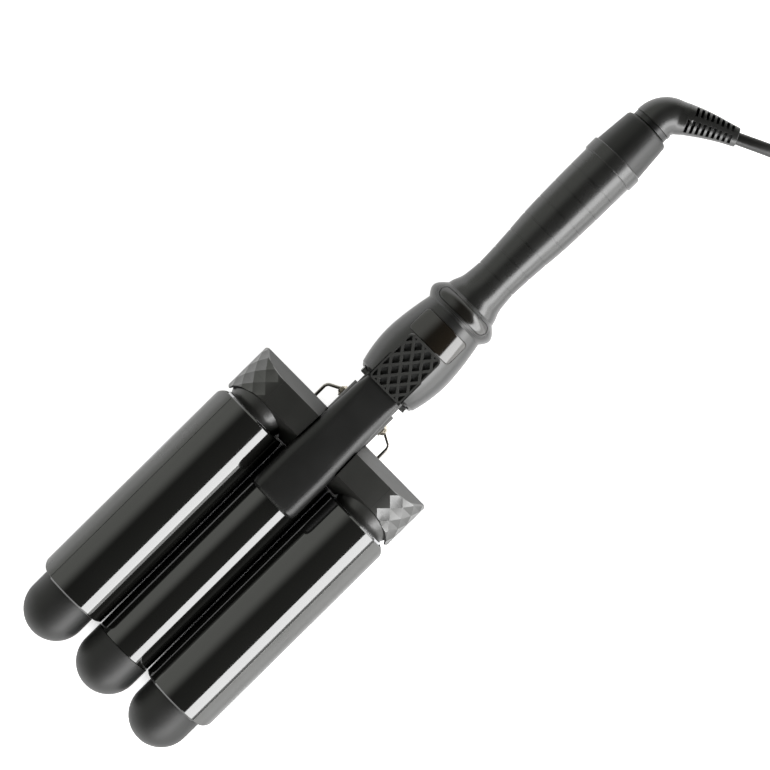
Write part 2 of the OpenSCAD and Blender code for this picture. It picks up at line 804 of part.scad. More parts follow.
module lever() {
    difference() {
        union() {
            difference() {
                lever_skin();
                translate([0, 0, axis_z])
                    bar_x(-far, saddle_rear_x + fit, middle_r + fit);
            }
            // Hinge lug that hangs into the neck's channel
            translate([pivot_x, 0, pivot_z])
                bar_y(-lug_half_w, lug_half_w, lug_r);
            block(
                [pivot_x - lug_r, -lug_half_w, pivot_z],
                [pivot_x + lug_r, lug_half_w, arm_under_z + 1]
            );
            // Thumb end, which rises behind the pivot
            intersection() {
                across([
                    [pivot_x - 0.5, arm_under_z],
                    [pivot_x + 1, arm_under_z],
                    [pivot_x + 13, arm_under_z + 9.2],
                    [pad_end_x, pad_end_z - pad_t - paddle_t],
                    [pad_end_x, pad_end_z - pad_t],
                    [pad_front_x, paddle_top_z - pad_t],
                    [pivot_x - 0.5, paddle_top_z - pad_t]
                ], far);
                translate([pad_front_x + pad_plan / 2 - 5, 0, 0])
                    linear_extrude(height = far)
                        round_rect(pad_plan + 10, 2 * arm_rear_half_w, pad_corner);
            }
            // Spigot that centres the spring
            translate([spring_x, 0, spring_top_z - 2.4])
                cylinder(r = spring_r - 2 * spring_wire_r - 0.5, h = 4);
        }
        translate([pivot_x, 0, pivot_z])
            bar_y(-far, far, pivot_r + fit);
        for (x = rivet_xs)
            translate([x, 0, 0])
                cylinder(r = rivet_r + fit, h = axis_z + middle_r + 3);
    }
}

pad_plan = pad_len * cos(pad_tilt);
pad_end_x = pad_front_x + pad_plan;
pad_end_z = paddle_top_z + pad_len * sin(pad_tilt);
// Underside of the thumb end over the spring
function under_z(x) = let (
    x1 = pivot_x + 13,
    z1 = arm_under_z + 9.2,
    z2 = pad_end_z - pad_t - paddle_t
) z1 + (x - x1) * (z2 - z1) / (pad_end_x - x1);
spring_top_z = under_z(spring_x);
spring_floor_z = axis_z + hub_radius(spring_x) - 4.4;

// A rubber pad with a lattice of raised ribs
module thumb_pad_body() {
    inner_x = pad_len - 2 * pad_edge;
    inner_y = 2 * arm_rear_half_w - 2 * pad_edge;
    nx = ceil(inner_x / pad_cell_x / 2) + 1;
    ny = ceil(inner_y / pad_cell_y / 2) + 1;
    translate([pad_front_x, 0, paddle_top_z - pad_t])
        rotate([0, -pad_tilt, 0])
            translate([pad_len / 2, 0, 0])
                difference() {
                    linear_extrude(height = pad_t)
                        round_rect(pad_len, 2 * arm_rear_half_w, pad_corner);
                    intersection() {
                        translate([0, 0, pad_t - pad_pocket])
                            linear_extrude(height = 1 + pad_pocket)
                                round_rect(inner_x, inner_y, pad_corner - pad_edge);
                        for (i = [-2 * nx:2 * nx])
                            for (j = [-2 * ny:2 * ny])
                                if ((i + j) % 2 == 0)
                                    translate([i * pad_cell_x / 2, j * pad_cell_y / 2, 0])
                                        linear_extrude(height = 9)
                                            diamond(pad_cell_x / 2 - pad_rib, pad_cell_y / 2 - pad_rib * 0.8);
                    }
                }
}

module diamond(half_x, half_y) {
    polygon([[half_x, 0], [0, half_y], [-half_x, 0], [0, -half_y]]);
}

module rivets() {
    head = 1;
    wall_z = sqrt(pow(middle_r - tube_wall, 2) - pow(rivet_head_r, 2));
    translate([0, 0, axis_z])
        for (x = rivet_xs)
            translate([x, 0, wall_z - head - fit]) {
                cylinder(r = rivet_head_r, h = head);
                cylinder(r = rivet_r, h = head + tube_wall + 2.5);
            }
}

// A compression spring between the hub and the thumb end
module return_spring() {
    steps = spring_turns * 16;
    coil_r = spring_r - spring_wire_r;
    low = spring_floor_z + spring_wire_r + seat;
    high = spring_top_z - spring_wire_r - 0.7;
    swept([
        for (i = [0:steps])
            [
                spring_x + coil_r * cos(360 * i / 16),
                coil_r * sin(360 * i / 16),
                low + (high - low) * i / steps
            ]
    ], spring_wire_r, 6);
}

// Stand ----------------------------------------------------------------

bush_len_y = 2.4;
bail_out_y = neck_pad_w / 2 + bush_len_y;
bail_slant = 2.6;
bail_corner = 5;
// Half of the wire's route, from its pivot out, down the leg and across
bail_half = concat(
    [
        [0, bail_out_y - 1],
        [0, bail_out_y],
        [-0.2 * bail_slant, bail_out_y + stand_wire_r],
        [-bail_slant, stand_half_w - 1.4 * stand_wire_r],
        [-1.3 * bail_slant, stand_half_w - 0.5 * stand_wire_r],
        [-1.8 * bail_slant, stand_half_w]
    ],
    [
        for (a = [0:15:90])
            [bail_corner * (1 - sin(a)) - stand_len, stand_half_w - bail_corner * (1 - cos(a))]
    ],
    [[-stand_len, 0]]
);

// One bent chrome wire, folded under the yoke
module bail() {
    last = len(bail_half) - 1;
    translate([stand_x, 0, stand_z])
        rotate([0, -stand_fold, 0]) {
            swept(concat(
                [for (p = bail_half) [p[0], p[1], 0]],
                [for (k = [1:last]) [bail_half[last - k][0], -bail_half[last - k][1], 0]]
            ), stand_wire_r, 16);
            for (side = [0, 1])
                mirror([0, side, 0])
                    bar_y(neck_w / 2 - neck_wall + 1, bail_out_y - 0.5, stand_wire_r);
        }
}

// Metal bushes on the neck's sides, each with a hexagonal nut against the neck
module bushes() {
    for (side = [0, 1])
        mirror([0, side, 0])
            translate([stand_x, neck_pad_w / 2, stand_z])
                difference() {
                    union() {
                        rotate([-90, 0, 0])
                            cylinder(r = 3.1, h = 0.45 * bush_len_y, $fn = 6);
                        bar_y(0, 0.75 * bush_len_y, 2.3);
                        bar_y(0, bush_len_y, 1.8);
                    }
                    bar_y(-1, bush_len_y + 1, stand_wire_r + fit);
                }
}

// Hub ------------------------------------------------------------------

function hub_radius(x) = x < hub_crest_x
    ? hub_r - (hub_r - hub_front_r) * pow((hub_crest_x - x) / (hub_crest_x - hub_front_x), 2)
    : hub_r - (hub_r - hub_rear_r) * pow((x - hub_crest_x) / (hub_rear_x - hub_crest_x), 1.6);

hub_steps = 14;
hub_profile = [
    for (i = [0:hub_steps])
        let (x = hub_front_x + hub_edge + (hub_rear_x - hub_front_x - hub_edge) * i / hub_steps)
            [x, hub_radius(x)]
];

// The hub's outer form, grown or shrunk by an offset
module hub_blank(offset) {
    translate([0, 0, axis_z])
        turned(concat(
            [[hub_front_x - min(offset, 0), 0]],
            [
                for (a = [0:18:72])
                    [
                        hub_front_x - min(offset, 0) + hub_edge * (1 - cos(a)),
                        hub_front_r - hub_edge * (1 - sin(a)) + offset
                    ]
            ],
            [for (p = hub_profile) [p[0], p[1] + offset]],
            [[hub_rear_x, 0]]
        ));
}

module window_outline(gap) {
    translate([window_x, 0, axis_z])
        linear_extrude(height = far)
            round_rect(window_len + 2 * gap, window_w + 2 * gap, window_corner + gap);
}

hub_screw_points = [[neck_rear_x + 8, 7], [neck_rear_x + 8, -7], [neck_rear_x + 20, 0]];
hub_screw_z = 4.2;
hub_screw_len = 20;
hub_room_z = axis_z + 7.5;
boss_r = screw_r + 1.8;
board_hole_r = boss_r + 0.5;

module hub_cuts() {
    // Slot that the lever's thumb end comes down into
    across([
        [hub_front_x - 1, neck_top_z - 1],
        [pivot_x + lug_r + 0.6, neck_top_z - 1],
        [pivot_x + 0.23 * pad_len, slot_floor_z + 1.8],
        [pivot_x + 0.52 * pad_len, slot_floor_z + 5.7],
        [window_x - window_len / 2 - 0.3, axis_z + hub_r - 0.5],
        [window_x - window_len / 2 - 0.3, far],
        [hub_front_x - 1, far]
    ], slot_half_w);
    // Opening for the neck, with room for the hinge lug
    block(
        [hub_front_x - 1, -neck_w / 2 - seat, neck_bottom_z - seat],
        [neck_rear_x + seat, neck_w / 2 + seat, neck_top_z + seat]
    );
    // Seat for the spring
    translate([spring_x, 0, spring_floor_z])
        cylinder(r = spring_r + spring_play, h = far);
    // Seat for the window
    difference() {
        window_outline(seat);
        hub_blank(-window_t - seat + 0.2);
    }
    // Opening for the display module under the window
    block([window_x - 5, -9.2, axis_z], [window_x + 5, 9.2, far]);
    // Seat for the handle's inner tube
    translate([0, 0, axis_z])
        bar_x(spine_front_x - seat, far, spine_r + fit);
    // Room for the board and its parts
    intersection() {
        hub_blank(-hub_wall);
        block([neck_rear_x + 2, -far, 0], [spine_front_x - 2, far, hub_room_z]);
    }
    // Notches for the ends of the lever's pin
    translate([pivot_x, 0, pivot_z])
        bar_y(-pivot_len / 2 - 1, pivot_len / 2 + 1, pivot_r + 0.6);
    // Way for the leads from the neck to the board
    block(
        [neck_rear_x - 1, -neck_leads_half_w, neck_floor_z],
        [neck_rear_x + 3, neck_leads_half_w, neck_floor_z + 3 * neck_lead_r]
    );
}

// Bosses that the hub's screws go through and into
module hub_bosses() {
    for (p = hub_screw_points)
        translate([p[0], p[1], 0])
            cylinder(r = boss_r, h = hub_room_z + 1);
}

module hub_shell(up) {
    difference() {
        intersection() {
            translate([0, 0, axis_z + up * far / 2])
                cube([2 * far, 2 * far, far], center = true);
            union() {
                difference() {
                    hub_blank(0);
                    hub_cuts();
                }
                intersection() {
                    hub_blank(-1);
                    hub_bosses();
                }
            }
        }
        screw_holes(hub_screw_points, hub_screw_z, hub_screw_len);
    }
}

module window() {
    difference() {
        intersection() {
            hub_blank(0.15);
            window_outline(0);
        }
        hub_blank(-window_t + 0.2);
    }
}

// The display's light box, seated on the board's posts
module display_box() {
    z0 = board_z + board_t;
    top = axis_z + hub_radius(window_x) - window_t - 3.6;
    translate([window_x, 0, 0]) {
        block([-4.8, -9, top - 6], [4.8, 9, top]);
        for (y = [-7, 7])
            translate([0, y, z0])
                cylinder(r = 1, h = top - 6 - z0);
    }
}

// Circuit board with its thickest components
module board() {
    x0 = neck_rear_x + 3;
    x1 = spine_front_x - 2.6;
    half_w = 14;
    part = 7;
    top_z = board_z + board_t;
    difference() {
        union() {
            block([x0, -half_w, board_z], [x1, half_w, top_z]);
            block([x0 + 1.4 * part, -half_w + 2, board_z], [x0 + 2.4 * part, -half_w / 2 + 2, top_z + part]);
            block([x0 + 1.6 * part, half_w / 2 - 2, board_z], [x0 + 2.5 * part, half_w - 4, top_z + part / 2]);
            translate([x0 + 3 * part, half_w / 2 - half_w, board_z])
                cylinder(r = part / 2 - 0.4, h = board_t + part);
        }
        for (p = hub_screw_points)
            translate([p[0], p[1], 0])
                cylinder(r = board_hole_r, h = far);
    }
}

// Ring and rocker ------------------------------------------------------

ring_profile = concat(
    [[hub_rear_x, 0], [hub_rear_x, hub_rear_r - 0.4]],
    [
        for (k = [0:10])
            let (t = k / 10, base = hub_rear_r * (1 - t) + ring_rear_r * t)
                [hub_rear_x + ring_len * t, base + (ring_r - (hub_rear_r + ring_rear_r) / 2) * sin(180 * t)]
    ],
    [[ring_rear_x, 0]]
);

module ring_blank(grow) {
    translate([0, 0, axis_z])
        turned([for (p = ring_profile) [p[0], p[1] == 0 ? 0 : p[1] + grow]]);
}

module rocker_outline(w, l) {
    translate([ring_mid_x, 0, axis_z])
        linear_extrude(height = far)
            round_rect(w, l, w / 2 - 0.01);
}

// The part of the ring's skin that lies within an outline
module ring_inset(w, l, grow, floor_r) {
    difference() {
        intersection() {
            ring_blank(grow);
            rocker_outline(w, l);
        }
        translate([0, 0, axis_z])
            bar_x(-far, far, floor_r);
    }
}

module ring_body() {
    difference() {
        ring_blank(0);
        translate([0, 0, axis_z])
            bar_x(-far, far, spine_r + fit);
        difference() {
            rocker_outline(bezel_w + 2 * seat, bezel_len + 2 * seat);
            translate([0, 0, axis_z])
                bar_x(-far, far, rocker_floor_r);
        }
        // Snap-in seat of the rocker's pin
        rocker_pin(fit);
        block(
            [ring_mid_x - rocker_stem / 2 - seat, -rocker_pin_r - 0.5, rocker_pivot_z],
            [ring_mid_x + rocker_stem / 2 + seat, rocker_pin_r + 0.5, far]
        );
    }
}

module rocker_pin(gap) {
    half = rocker_pin_len / 2 + gap;
    translate([ring_mid_x, 0, rocker_pivot_z])
        bar_x(-half, half, rocker_pin_r + gap);
}

module bezel() {
    difference() {
        ring_inset(bezel_w, bezel_len, 0.15, rocker_floor_r + fit);
        rocker_outline(bezel_w - 2 * bezel_rim, bezel_len - 2 * bezel_rim);
    }
}

module rocker() {
    gap = 2 * (bezel_rim + rocker_gap);
    low_r = rocker_floor_r + rocker_travel + 0.9;
    ring_inset(bezel_w - gap, bezel_len - gap, 0.3, low_r);
    rocker_pin(0);
    block(
        [ring_mid_x - rocker_stem / 2, -rocker_pin_r, rocker_pivot_z],
        [ring_mid_x + rocker_stem / 2, rocker_pin_r, axis_z + low_r + 0.5]
    );
}

// Two small switches under the rocker's ends
module tact_switches() {
    for (side = [-1, 1])
        translate([ring_mid_x, 0, axis_z])
            rotate([-side * 36, 0, 0])
                translate([0, 0, rocker_floor_r + fit])
                    cylinder(r = 1.8, h = rocker_travel + 0.4);
}

// Handle ---------------------------------------------------------------

grip_stations = [
    [ring_rear_x, ring_rear_r],
    [ring_rear_x + 3, ring_rear_r - 0.8],
    [ring_rear_x + 7, grip_waist_r + 1.15],
    [ring_rear_x + 12, grip_waist_r + 0.4],
    [ring_rear_x + 20, grip_waist_r],
    [ring_rear_x + 36, grip_waist_r + 0.85],
    [band_x - 42, grip_rear_r - 0.75],
    [band_x - 20, grip_rear_r - 0.1],
    [band_x, grip_rear_r]
];

// A smooth curve through the stations
function smooth(a, b, c, d, t) =
    0.5 * ((2 * b) + (c - a) * t + (2 * a - 5 * b + 4 * c - d) * t * t + (3 * b - a - 3 * c + d) * t * t * t);
grip_last = len(grip_stations) - 1;
grip_profile = concat(
    [
        for (i = [0:grip_last - 1])
            for (k = [0:3])
                smooth(
                    grip_stations[max(i - 1, 0)],
                    grip_stations[i],
                    grip_stations[i + 1],
                    grip_stations[min(i + 2, grip_last)],
                    k / 4
                )
    ],
    [grip_stations[grip_last]]
);

module grip() {
    translate([0, 0, axis_z])
        difference() {
            turned(concat(
                [[ring_rear_x, spine_r + fit]],
                grip_profile,
                [[band_x, spine_r + fit]]
            ));
            for (k = [1:groove_count])
                translate([band_x - k * groove_pitch, 0, 0])
                    difference() {
                        bar_x(-groove_w / 2, groove_w / 2, far);
                        bar_x(-groove_w, groove_w, lookup(band_x - k * groove_pitch, grip_profile) - groove_depth);
                    }
        }
}

module spine_tube() {
    translate([0, 0, axis_z])
        difference() {
            bar_x(spine_front_x, spine_rear_x, spine_r);
            bar_x(spine_front_x - 1, spine_rear_x + 1, spine_r - spine_wall);
        }
}

module band() {
    edge = 0.4;
    translate([0, 0, axis_z])
        turned([
            [band_x, spine_r + fit],
            [band_x, band_r - edge],
            [band_x + edge, band_r],
            [cap_x - edge, band_r],
            [cap_x, band_r - edge],
            [cap_x, spine_r + fit]
        ]);
}

// The tapered end of the handle, bored for the swivel
module cap() {
    edge = 1.6;
    translate([0, 0, axis_z])
        difference() {
            turned([
                [cap_x, 0],
                [cap_x, cap_front_r],
                [cap_end_x - 6, cap_rear_r + 0.4],
                [cap_end_x - edge, cap_rear_r],
                [cap_end_x - edge / 3, cap_rear_r - edge / 3],
                [cap_end_x, cap_rear_r - edge],
                [cap_end_x, 0]
            ]);
            bar_x(cap_x - 1, spine_rear_x + seat, spine_r + fit);
            bar_x(cap_x - 1, cap_end_x - bush_len, flange_r + 1);
            bar_x(cap_x - 1, cap_end_x + 1, bush_r + fit);
        }
}

module supply_leads() {
    lead_r = 1.1;
    drop = flange_r - lead_r + 0.6;
    for (y = [-1.5, 1.5])
        translate([0, y, axis_z - drop])
            bar_x(spine_front_x + 1, cap_end_x - bush_len - 3.8, lead_r);
}

// Swivel and cord ------------------------------------------------------

module fixed_bush() {
    translate([0, 0, axis_z])
        difference() {
            bar_x(cap_end_x - bush_len, cap_end_x - 0.6, bush_r);
            bar_x(cap_end_x - bush_len - 1, cap_end_x + 1, spindle_r + fit);
        }
}

// The turning spindle: a flange inside, the shaft, and the dark ring that shows at the joint
module spindle() {
    x0 = cap_end_x - bush_len - 2.6;
    translate([0, 0, axis_z])
        difference() {
            union() {
                bar_x(x0, x0 + 2.3, flange_r);
                bar_x(x0, elbow_x + 3, spindle_r);
                bar_x(cap_end_x + joint_gap, elbow_x, elbow_r - 0.3);
            }
            bar_x(x0 - 1, elbow_x + 4, spindle_r - 2);
        }
}

bend_tangent = elbow_bend_r * tan(-cord_angle / 2);
elbow_arc = 10;
elbow_points = concat(
    [[elbow_x, 0, axis_z], [elbow_x + 0.2, 0, axis_z]],
    [
        for (k = [0:elbow_arc])
            let (a = -cord_angle * k / elbow_arc)
                [
                    bend_x - bend_tangent + elbow_bend_r * sin(a),
                    -elbow_bend_r * (1 - cos(a)),
                    axis_z
                ]
    ],
    [[bend_x, 0, axis_z] + relief_start * cord_dir]
);

// A moulded elbow that tapers round the bend
module elbow() {
    last = len(elbow_points) - 1;
    difference() {
        skin([
            for (i = [0:last])
                let (
                    t = i < 2 ? 0 : (i - 1) / (last - 1),
                    r = elbow_r + (elbow_end_r - elbow_r) * (0.35 * t + 0.65 * t * t) - (i == 0 ? 0.3 : 0),
                    a = i < 2 ? 0 : i == last ? cord_angle : cord_angle * (i - 2) / elbow_arc
                )
                    ring_at(elbow_points[i], [cos(a), sin(a), 0], r, 32)
        ]);
        translate([0, 0, axis_z])
            bar_x(elbow_x - 1, elbow_x + 3 + seat, spindle_r + fit);
    }
}

// A slotted, tapering sleeve round the cord
module relief() {
    translate([bend_x, 0, axis_z])
        rotate([0, 0, cord_angle])
            rotate([spine_turn, 0, 0])
                difference() {
                    translate([relief_start, 0, 0])
                        rotate([0, 90, 0])
                            cylinder(r1 = elbow_end_r, r2 = relief_end_r, h = relief_len);
                    for (k = [0:slot_count - 1])
                        translate([relief_start + 1.4 + k * slot_pitch, 0, 0])
                            difference() {
                                bar_x(0, slot_w, elbow_r);
                                bar_x(-1, slot_w + 1, relief_end_r - 0.4 + 1.2 * (1 - k / slot_count));
                                cube([9, 2.6, 4 * elbow_r], center = true);
                            }
                }
}

// The loose strap that holds the coil
module tie() {
    tie_turn = tie_angle / 360;
    inner = spiral_r(coil_turns / 2 + 0.5) - cord_r - tie_gap - 0.4;
    outer = coil_outer_r - coil_pitch * tie_turn + cord_r + tie_gap + 0.4;
    height = coil_rise + cord_d + 2 * tie_gap;
    translate(coil_centre)
        rotate([0, 0, coil_turn_in - 90 + tie_angle])
            translate([(inner + outer) / 2, 0, coil_rise / 2])
                rotate([90, 0, 0])
                    linear_extrude(height = tie_w, center = true)
                        difference() {
                            round_rect(outer - inner + 2 * tie_t, height + 2 * tie_t, 3 + tie_t);
                            round_rect(outer - inner, height, 3);
                        }
}

module plug_frame() {
    translate(coil_end)
        rotate([0, 0, coil_end_angle])
            children();
}

plug_h = 2 * (coil_bottom_z + coil_rise);
plug_neck = 16;

// A moulded two-blade plug that lies on the table
module plug() {
    plug_frame() {
        rotate([0, 90, 0])
            cylinder(r1 = cord_r + 1.4, r2 = cord_r + 3.4, h = plug_neck);
        difference() {
            intersection() {
                translate([plug_neck - 2 + plug_len / 2, 0, -plug_h / 2])
                    linear_extrude(height = plug_h)
                        round_rect(plug_len, plug_w, 7);
                rotate([90, 0, 90])
                    linear_extrude(height = far)
                        round_rect(plug_w, plug_h, 4);
            }
            for (side = [-1, 1])
                for (k = [0:3])
                    translate([plug_neck + 9 + k * 3.4, side * plug_w / 2, 0])
                        cylinder(r = 0.9, h = 14, center = true);
            for (side = [-1, 1])
                translate([plug_face, side * blade_spacing / 2, 0])
                    cube([8 + 2 * seat, blade_t + 2 * seat, blade_h + 2 * seat], center = true);
        }
    }
}

blade_t = 1.5;
blade_h = 6.35;
blade_len = 17;
plug_face = plug_neck - 2 + plug_len;

module blades() {
    plug_frame()
        for (side = [-1, 1])
            translate([plug_face, side * blade_spacing / 2, 0])
                difference() {
                    block([-4, -blade_t / 2, -blade_h / 2], [blade_len, blade_t / 2, blade_h / 2]);
                    translate([blade_len - 4.6, 0, 0])
                        bar_y(-2, 2, 1.6);
                }
}

// Nodes ----------------------------------------------------------------

module barrel_left() { color([0.08, 0.08, 0.07]) outer_barrel(1); }
module barrel_right() { color([0.08, 0.08, 0.07]) outer_barrel(-1); }
module barrel_middle() { color([0.08, 0.08, 0.07]) middle_barrel(); }
module barrel_core_left() { color([0.3, 0.3, 0.3]) barrel_core(1); }
module barrel_core_right() { color([0.3, 0.3, 0.3]) barrel_core(-1); }
module side_guard_left() { color([0.2, 0.2, 0.19]) side_guard(1); }
module side_guard_right() { color([0.2, 0.2, 0.19]) side_guard(-1); }
module barrel_tip_left() { color([0.12, 0.12, 0.12]) barrel_tip(pitch, core_r - tube_wall); }
module barrel_tip_right() { color([0.12, 0.12, 0.12]) barrel_tip(-pitch, core_r - tube_wall); }
module barrel_tip_middle() { color([0.12, 0.12, 0.12]) barrel_tip(0, middle_r - tube_wall); }
module heater_left() { color([0.9, 0.88, 0.8]) heater(pitch); }
module heater_right() { color([0.9, 0.88, 0.8]) heater(-pitch); }
module heater_middle() { color([0.9, 0.88, 0.8]) heater(0); }
module heat_spreader_left() { color([0.7, 0.7, 0.72]) heat_spreader(pitch, core_r - tube_wall); }
module heat_spreader_right() { color([0.7, 0.7, 0.72]) heat_spreader(-pitch, core_r - tube_wall); }
module heat_spreader_middle() { color([0.7, 0.7, 0.72]) heat_spreader(0, middle_r - tube_wall); }
module barrel_collar_left() { color([0.16, 0.16, 0.15]) barrel_collar(1); }
module barrel_collar_right() { color([0.16, 0.16, 0.15]) barrel_collar(-1); }
module barrel_collar_middle() { color([0.16, 0.16, 0.15]) middle_collar(); }
module yoke_upper() { color([0.14, 0.14, 0.13]) yoke_half(1); }
module yoke_lower() { color([0.14, 0.14, 0.13]) yoke_half(-1); }
module yoke_screws() { color([0.6, 0.6, 0.6]) screws(yoke_screw_points, yoke_screw_z, screw_len); }
module neck() { color([0.14, 0.14, 0.13]) neck_body(); }
module neck_wiring() { color([0.7, 0.2, 0.15]) channel_leads(); }
module pivot_pin() { color([0.55, 0.55, 0.55]) lever_pin(); }
module lever_arm() { color([0.15, 0.15, 0.14]) lever(); }
module thumb_pad() { color([0.1, 0.1, 0.1]) thumb_pad_body(); }
module saddle_rivets() { color([0.6, 0.6, 0.6]) rivets(); }
module lever_spring() { color([0.7, 0.7, 0.7]) return_spring(); }
module stand_wire() { color([0.8, 0.8, 0.8]) bail(); }
module stand_bushes() { color([0.75, 0.75, 0.7]) bushes(); }
module hub_upper_shell() { color([0.15, 0.15, 0.14]) hub_shell(1); }
module hub_lower_shell() { color([0.15, 0.15, 0.14]) hub_shell(-1); }
module hub_screws() { color([0.6, 0.6, 0.6]) screws(hub_screw_points, hub_screw_z, hub_screw_len); }
module display_window() { color([0.05, 0.05, 0.05]) window(); }
module display_module() { color([0.2, 0.2, 0.22]) display_box(); }
module control_board() { color([0.1, 0.35, 0.15]) board(); }
module ring_collar() { color([0.15, 0.15, 0.14]) ring_body(); }
module rocker_bezel() { color([0.3, 0.3, 0.3]) bezel(); }
module control_rocker() { color([0.05, 0.05, 0.05]) rocker(); }
module rocker_switches() { color([0.7, 0.7, 0.7]) tact_switches(); }
module handle_spine() { color([0.3, 0.3, 0.3]) spine_tube(); }
module handle_grip() { color([0.16, 0.16, 0.15]) grip(); }
module rear_band() { color([0.16, 0.16, 0.15]) band(); }
module end_cap() { color([0.16, 0.16, 0.15]) cap(); }
module handle_wiring() { color([0.6, 0.45, 0.2]) supply_leads(); }
module swivel_bush() { color([0.85, 0.85, 0.82]) fixed_bush(); }
module swivel_spindle() { color([0.05, 0.05, 0.05]) spindle(); }
module cord_elbow() { color([0.14, 0.14, 0.14]) elbow(); }
module strain_relief() { color([0.14, 0.14, 0.14]) relief(); }
module cord_lead() { color([0.06, 0.06, 0.06]) swept(lead_points, cord_r, 12); }
module cord_coil() { color([0.06, 0.06, 0.06]) swept(coil_points, cord_r, coil_sides); }
module cord_tie() { color([0.05, 0.05, 0.05]) tie(); }
module plug_body() { color([0.08, 0.08, 0.08]) plug(); }
module plug_blades() { color([0.8, 0.7, 0.4]) blades(); }

barrel_left();
barrel_right();
barrel_middle();
barrel_core_left();
barrel_core_right();
side_guard_left();
side_guard_right();
barrel_tip_left();
barrel_tip_right();
barrel_tip_middle();
heater_left();
heater_right();
heater_middle();
heat_spreader_left();
heat_spreader_right();
heat_spreader_middle();
barrel_collar_left();
barrel_collar_right();
barrel_collar_middle();
yoke_upper();
yoke_lower();
yoke_screws();
neck();
neck_wiring();
pivot_pin();
lever_arm();
thumb_pad();
saddle_rivets();
lever_spring();
stand_wire();
stand_bushes();
hub_upper_shell();
hub_lower_shell();
hub_screws();
display_window();
display_module();
control_board();
ring_collar();
rocker_bezel();
control_rocker();
rocker_switches();
handle_spine();
handle_grip();
rear_band();
end_cap();
handle_wiring();
swivel_bush();
swivel_spindle();
cord_elbow();
strain_relief();
cord_lead();
cord_coil();
cord_tie();
plug_body();
plug_blades();
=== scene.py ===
import json
import math

import bmesh
import bpy
from mathutils import Matrix, Vector


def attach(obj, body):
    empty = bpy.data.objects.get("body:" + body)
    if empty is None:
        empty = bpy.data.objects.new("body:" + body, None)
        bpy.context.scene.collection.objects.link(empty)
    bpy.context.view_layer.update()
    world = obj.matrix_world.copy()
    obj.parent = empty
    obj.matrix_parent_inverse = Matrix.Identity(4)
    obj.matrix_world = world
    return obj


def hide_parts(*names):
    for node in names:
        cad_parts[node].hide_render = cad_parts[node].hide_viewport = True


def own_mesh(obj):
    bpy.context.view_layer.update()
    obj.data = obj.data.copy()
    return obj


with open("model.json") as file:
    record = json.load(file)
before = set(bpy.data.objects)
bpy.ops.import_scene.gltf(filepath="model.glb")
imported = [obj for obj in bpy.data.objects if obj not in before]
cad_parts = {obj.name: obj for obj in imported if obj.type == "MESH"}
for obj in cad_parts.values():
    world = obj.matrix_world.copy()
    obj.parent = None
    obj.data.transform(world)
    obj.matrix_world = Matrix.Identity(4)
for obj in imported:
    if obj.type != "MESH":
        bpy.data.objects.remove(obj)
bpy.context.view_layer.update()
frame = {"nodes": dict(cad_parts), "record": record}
cadNodes = frame["nodes"]
bodyOfNode = {
    node: body
    for body, members in frame["record"]["behaviour"]["bodies"].items()
    for node in members
}
slotOfNode = {row["node"]: row["material_slot"] for row in frame["record"]["subparts"]}
mm = 0.001

# The tool lies along X, and its barrels and handle share one height
toolAxis = {
    "height": 20.0,                       # in mm, like every size of the pieces
    "angleInView": math.radians(44.65),   # how far the tool is turned from level in the picture
}


def axisPoint(x, y=0.0):
    # A point at the axis's height, with all three numbers in metres
    return Vector((x, y, toolAxis["height"] * mm))


# ---- shader groups and materials

plainLook = {
    "metallic": 0.0,
    "ior": 1.5,
    "toneSpread": 0.12,            # how far tone and roughness stray across a surface
    "roughSpread": 0.04,
    "bump": 0.0,
    "grainSize": 2600.0,
    "cloudSize": 45.0,
}
grainSettings = {
    "fineDetail": 3.0,
    "cloudDetail": 4.0,
    "cloudRange": (0.3, 0.7),      # where most of the clouds' values lie
    "bumpDepth": 0.05 * mm,
}


def addSocket(group, name, direction, value=0.0):
    socket = group.interface.new_socket(
        name=name,
        in_out=direction,
        socket_type="NodeSocketFloat",
    )
    socket.default_value = value


def makeGrainGroup():
    # Fine moulded grain with slow cloudy changes, from the piece's own coordinates
    group = bpy.data.node_groups.new("mouldedGrain", "ShaderNodeTree")
    addSocket(group, "Grain Size", "INPUT", value=plainLook["grainSize"])
    addSocket(group, "Cloud Size", "INPUT", value=plainLook["cloudSize"])
    addSocket(group, "Height", "OUTPUT")
    addSocket(group, "Clouds", "OUTPUT")
    make, link = group.nodes.new, group.links.new
    start = make("NodeGroupInput")
    end = make("NodeGroupOutput")
    place = make("ShaderNodeTexCoord")
    fine = make("ShaderNodeTexNoise")
    fine.inputs["Detail"].default_value = grainSettings["fineDetail"]
    clouds = make("ShaderNodeTexNoise")
    clouds.inputs["Detail"].default_value = grainSettings["cloudDetail"]
    link(place.outputs["Object"], fine.inputs["Vector"])
    link(place.outputs["Object"], clouds.inputs["Vector"])
    link(start.outputs["Grain Size"], fine.inputs["Scale"])
    link(start.outputs["Cloud Size"], clouds.inputs["Scale"])
    link(fine.outputs["Fac"], end.inputs["Height"])
    link(clouds.outputs["Fac"], end.inputs["Clouds"])
    return group


grainGroup = makeGrainGroup()


def mapRange(tree, source, fromRange, toRange, smooth=False):
    # A node that turns a socket's values from one range into the other
    node = tree.nodes.new("ShaderNodeMapRange")
    if smooth:
        node.interpolation_type = "SMOOTHSTEP"
    names = ("From Min", "From Max", "To Min", "To Max")
    for name, value in zip(names, (*fromRange, *toRange)):
        node.inputs[name].default_value = value
    tree.links.new(source, node.inputs["Value"])
    return node.outputs["Result"]


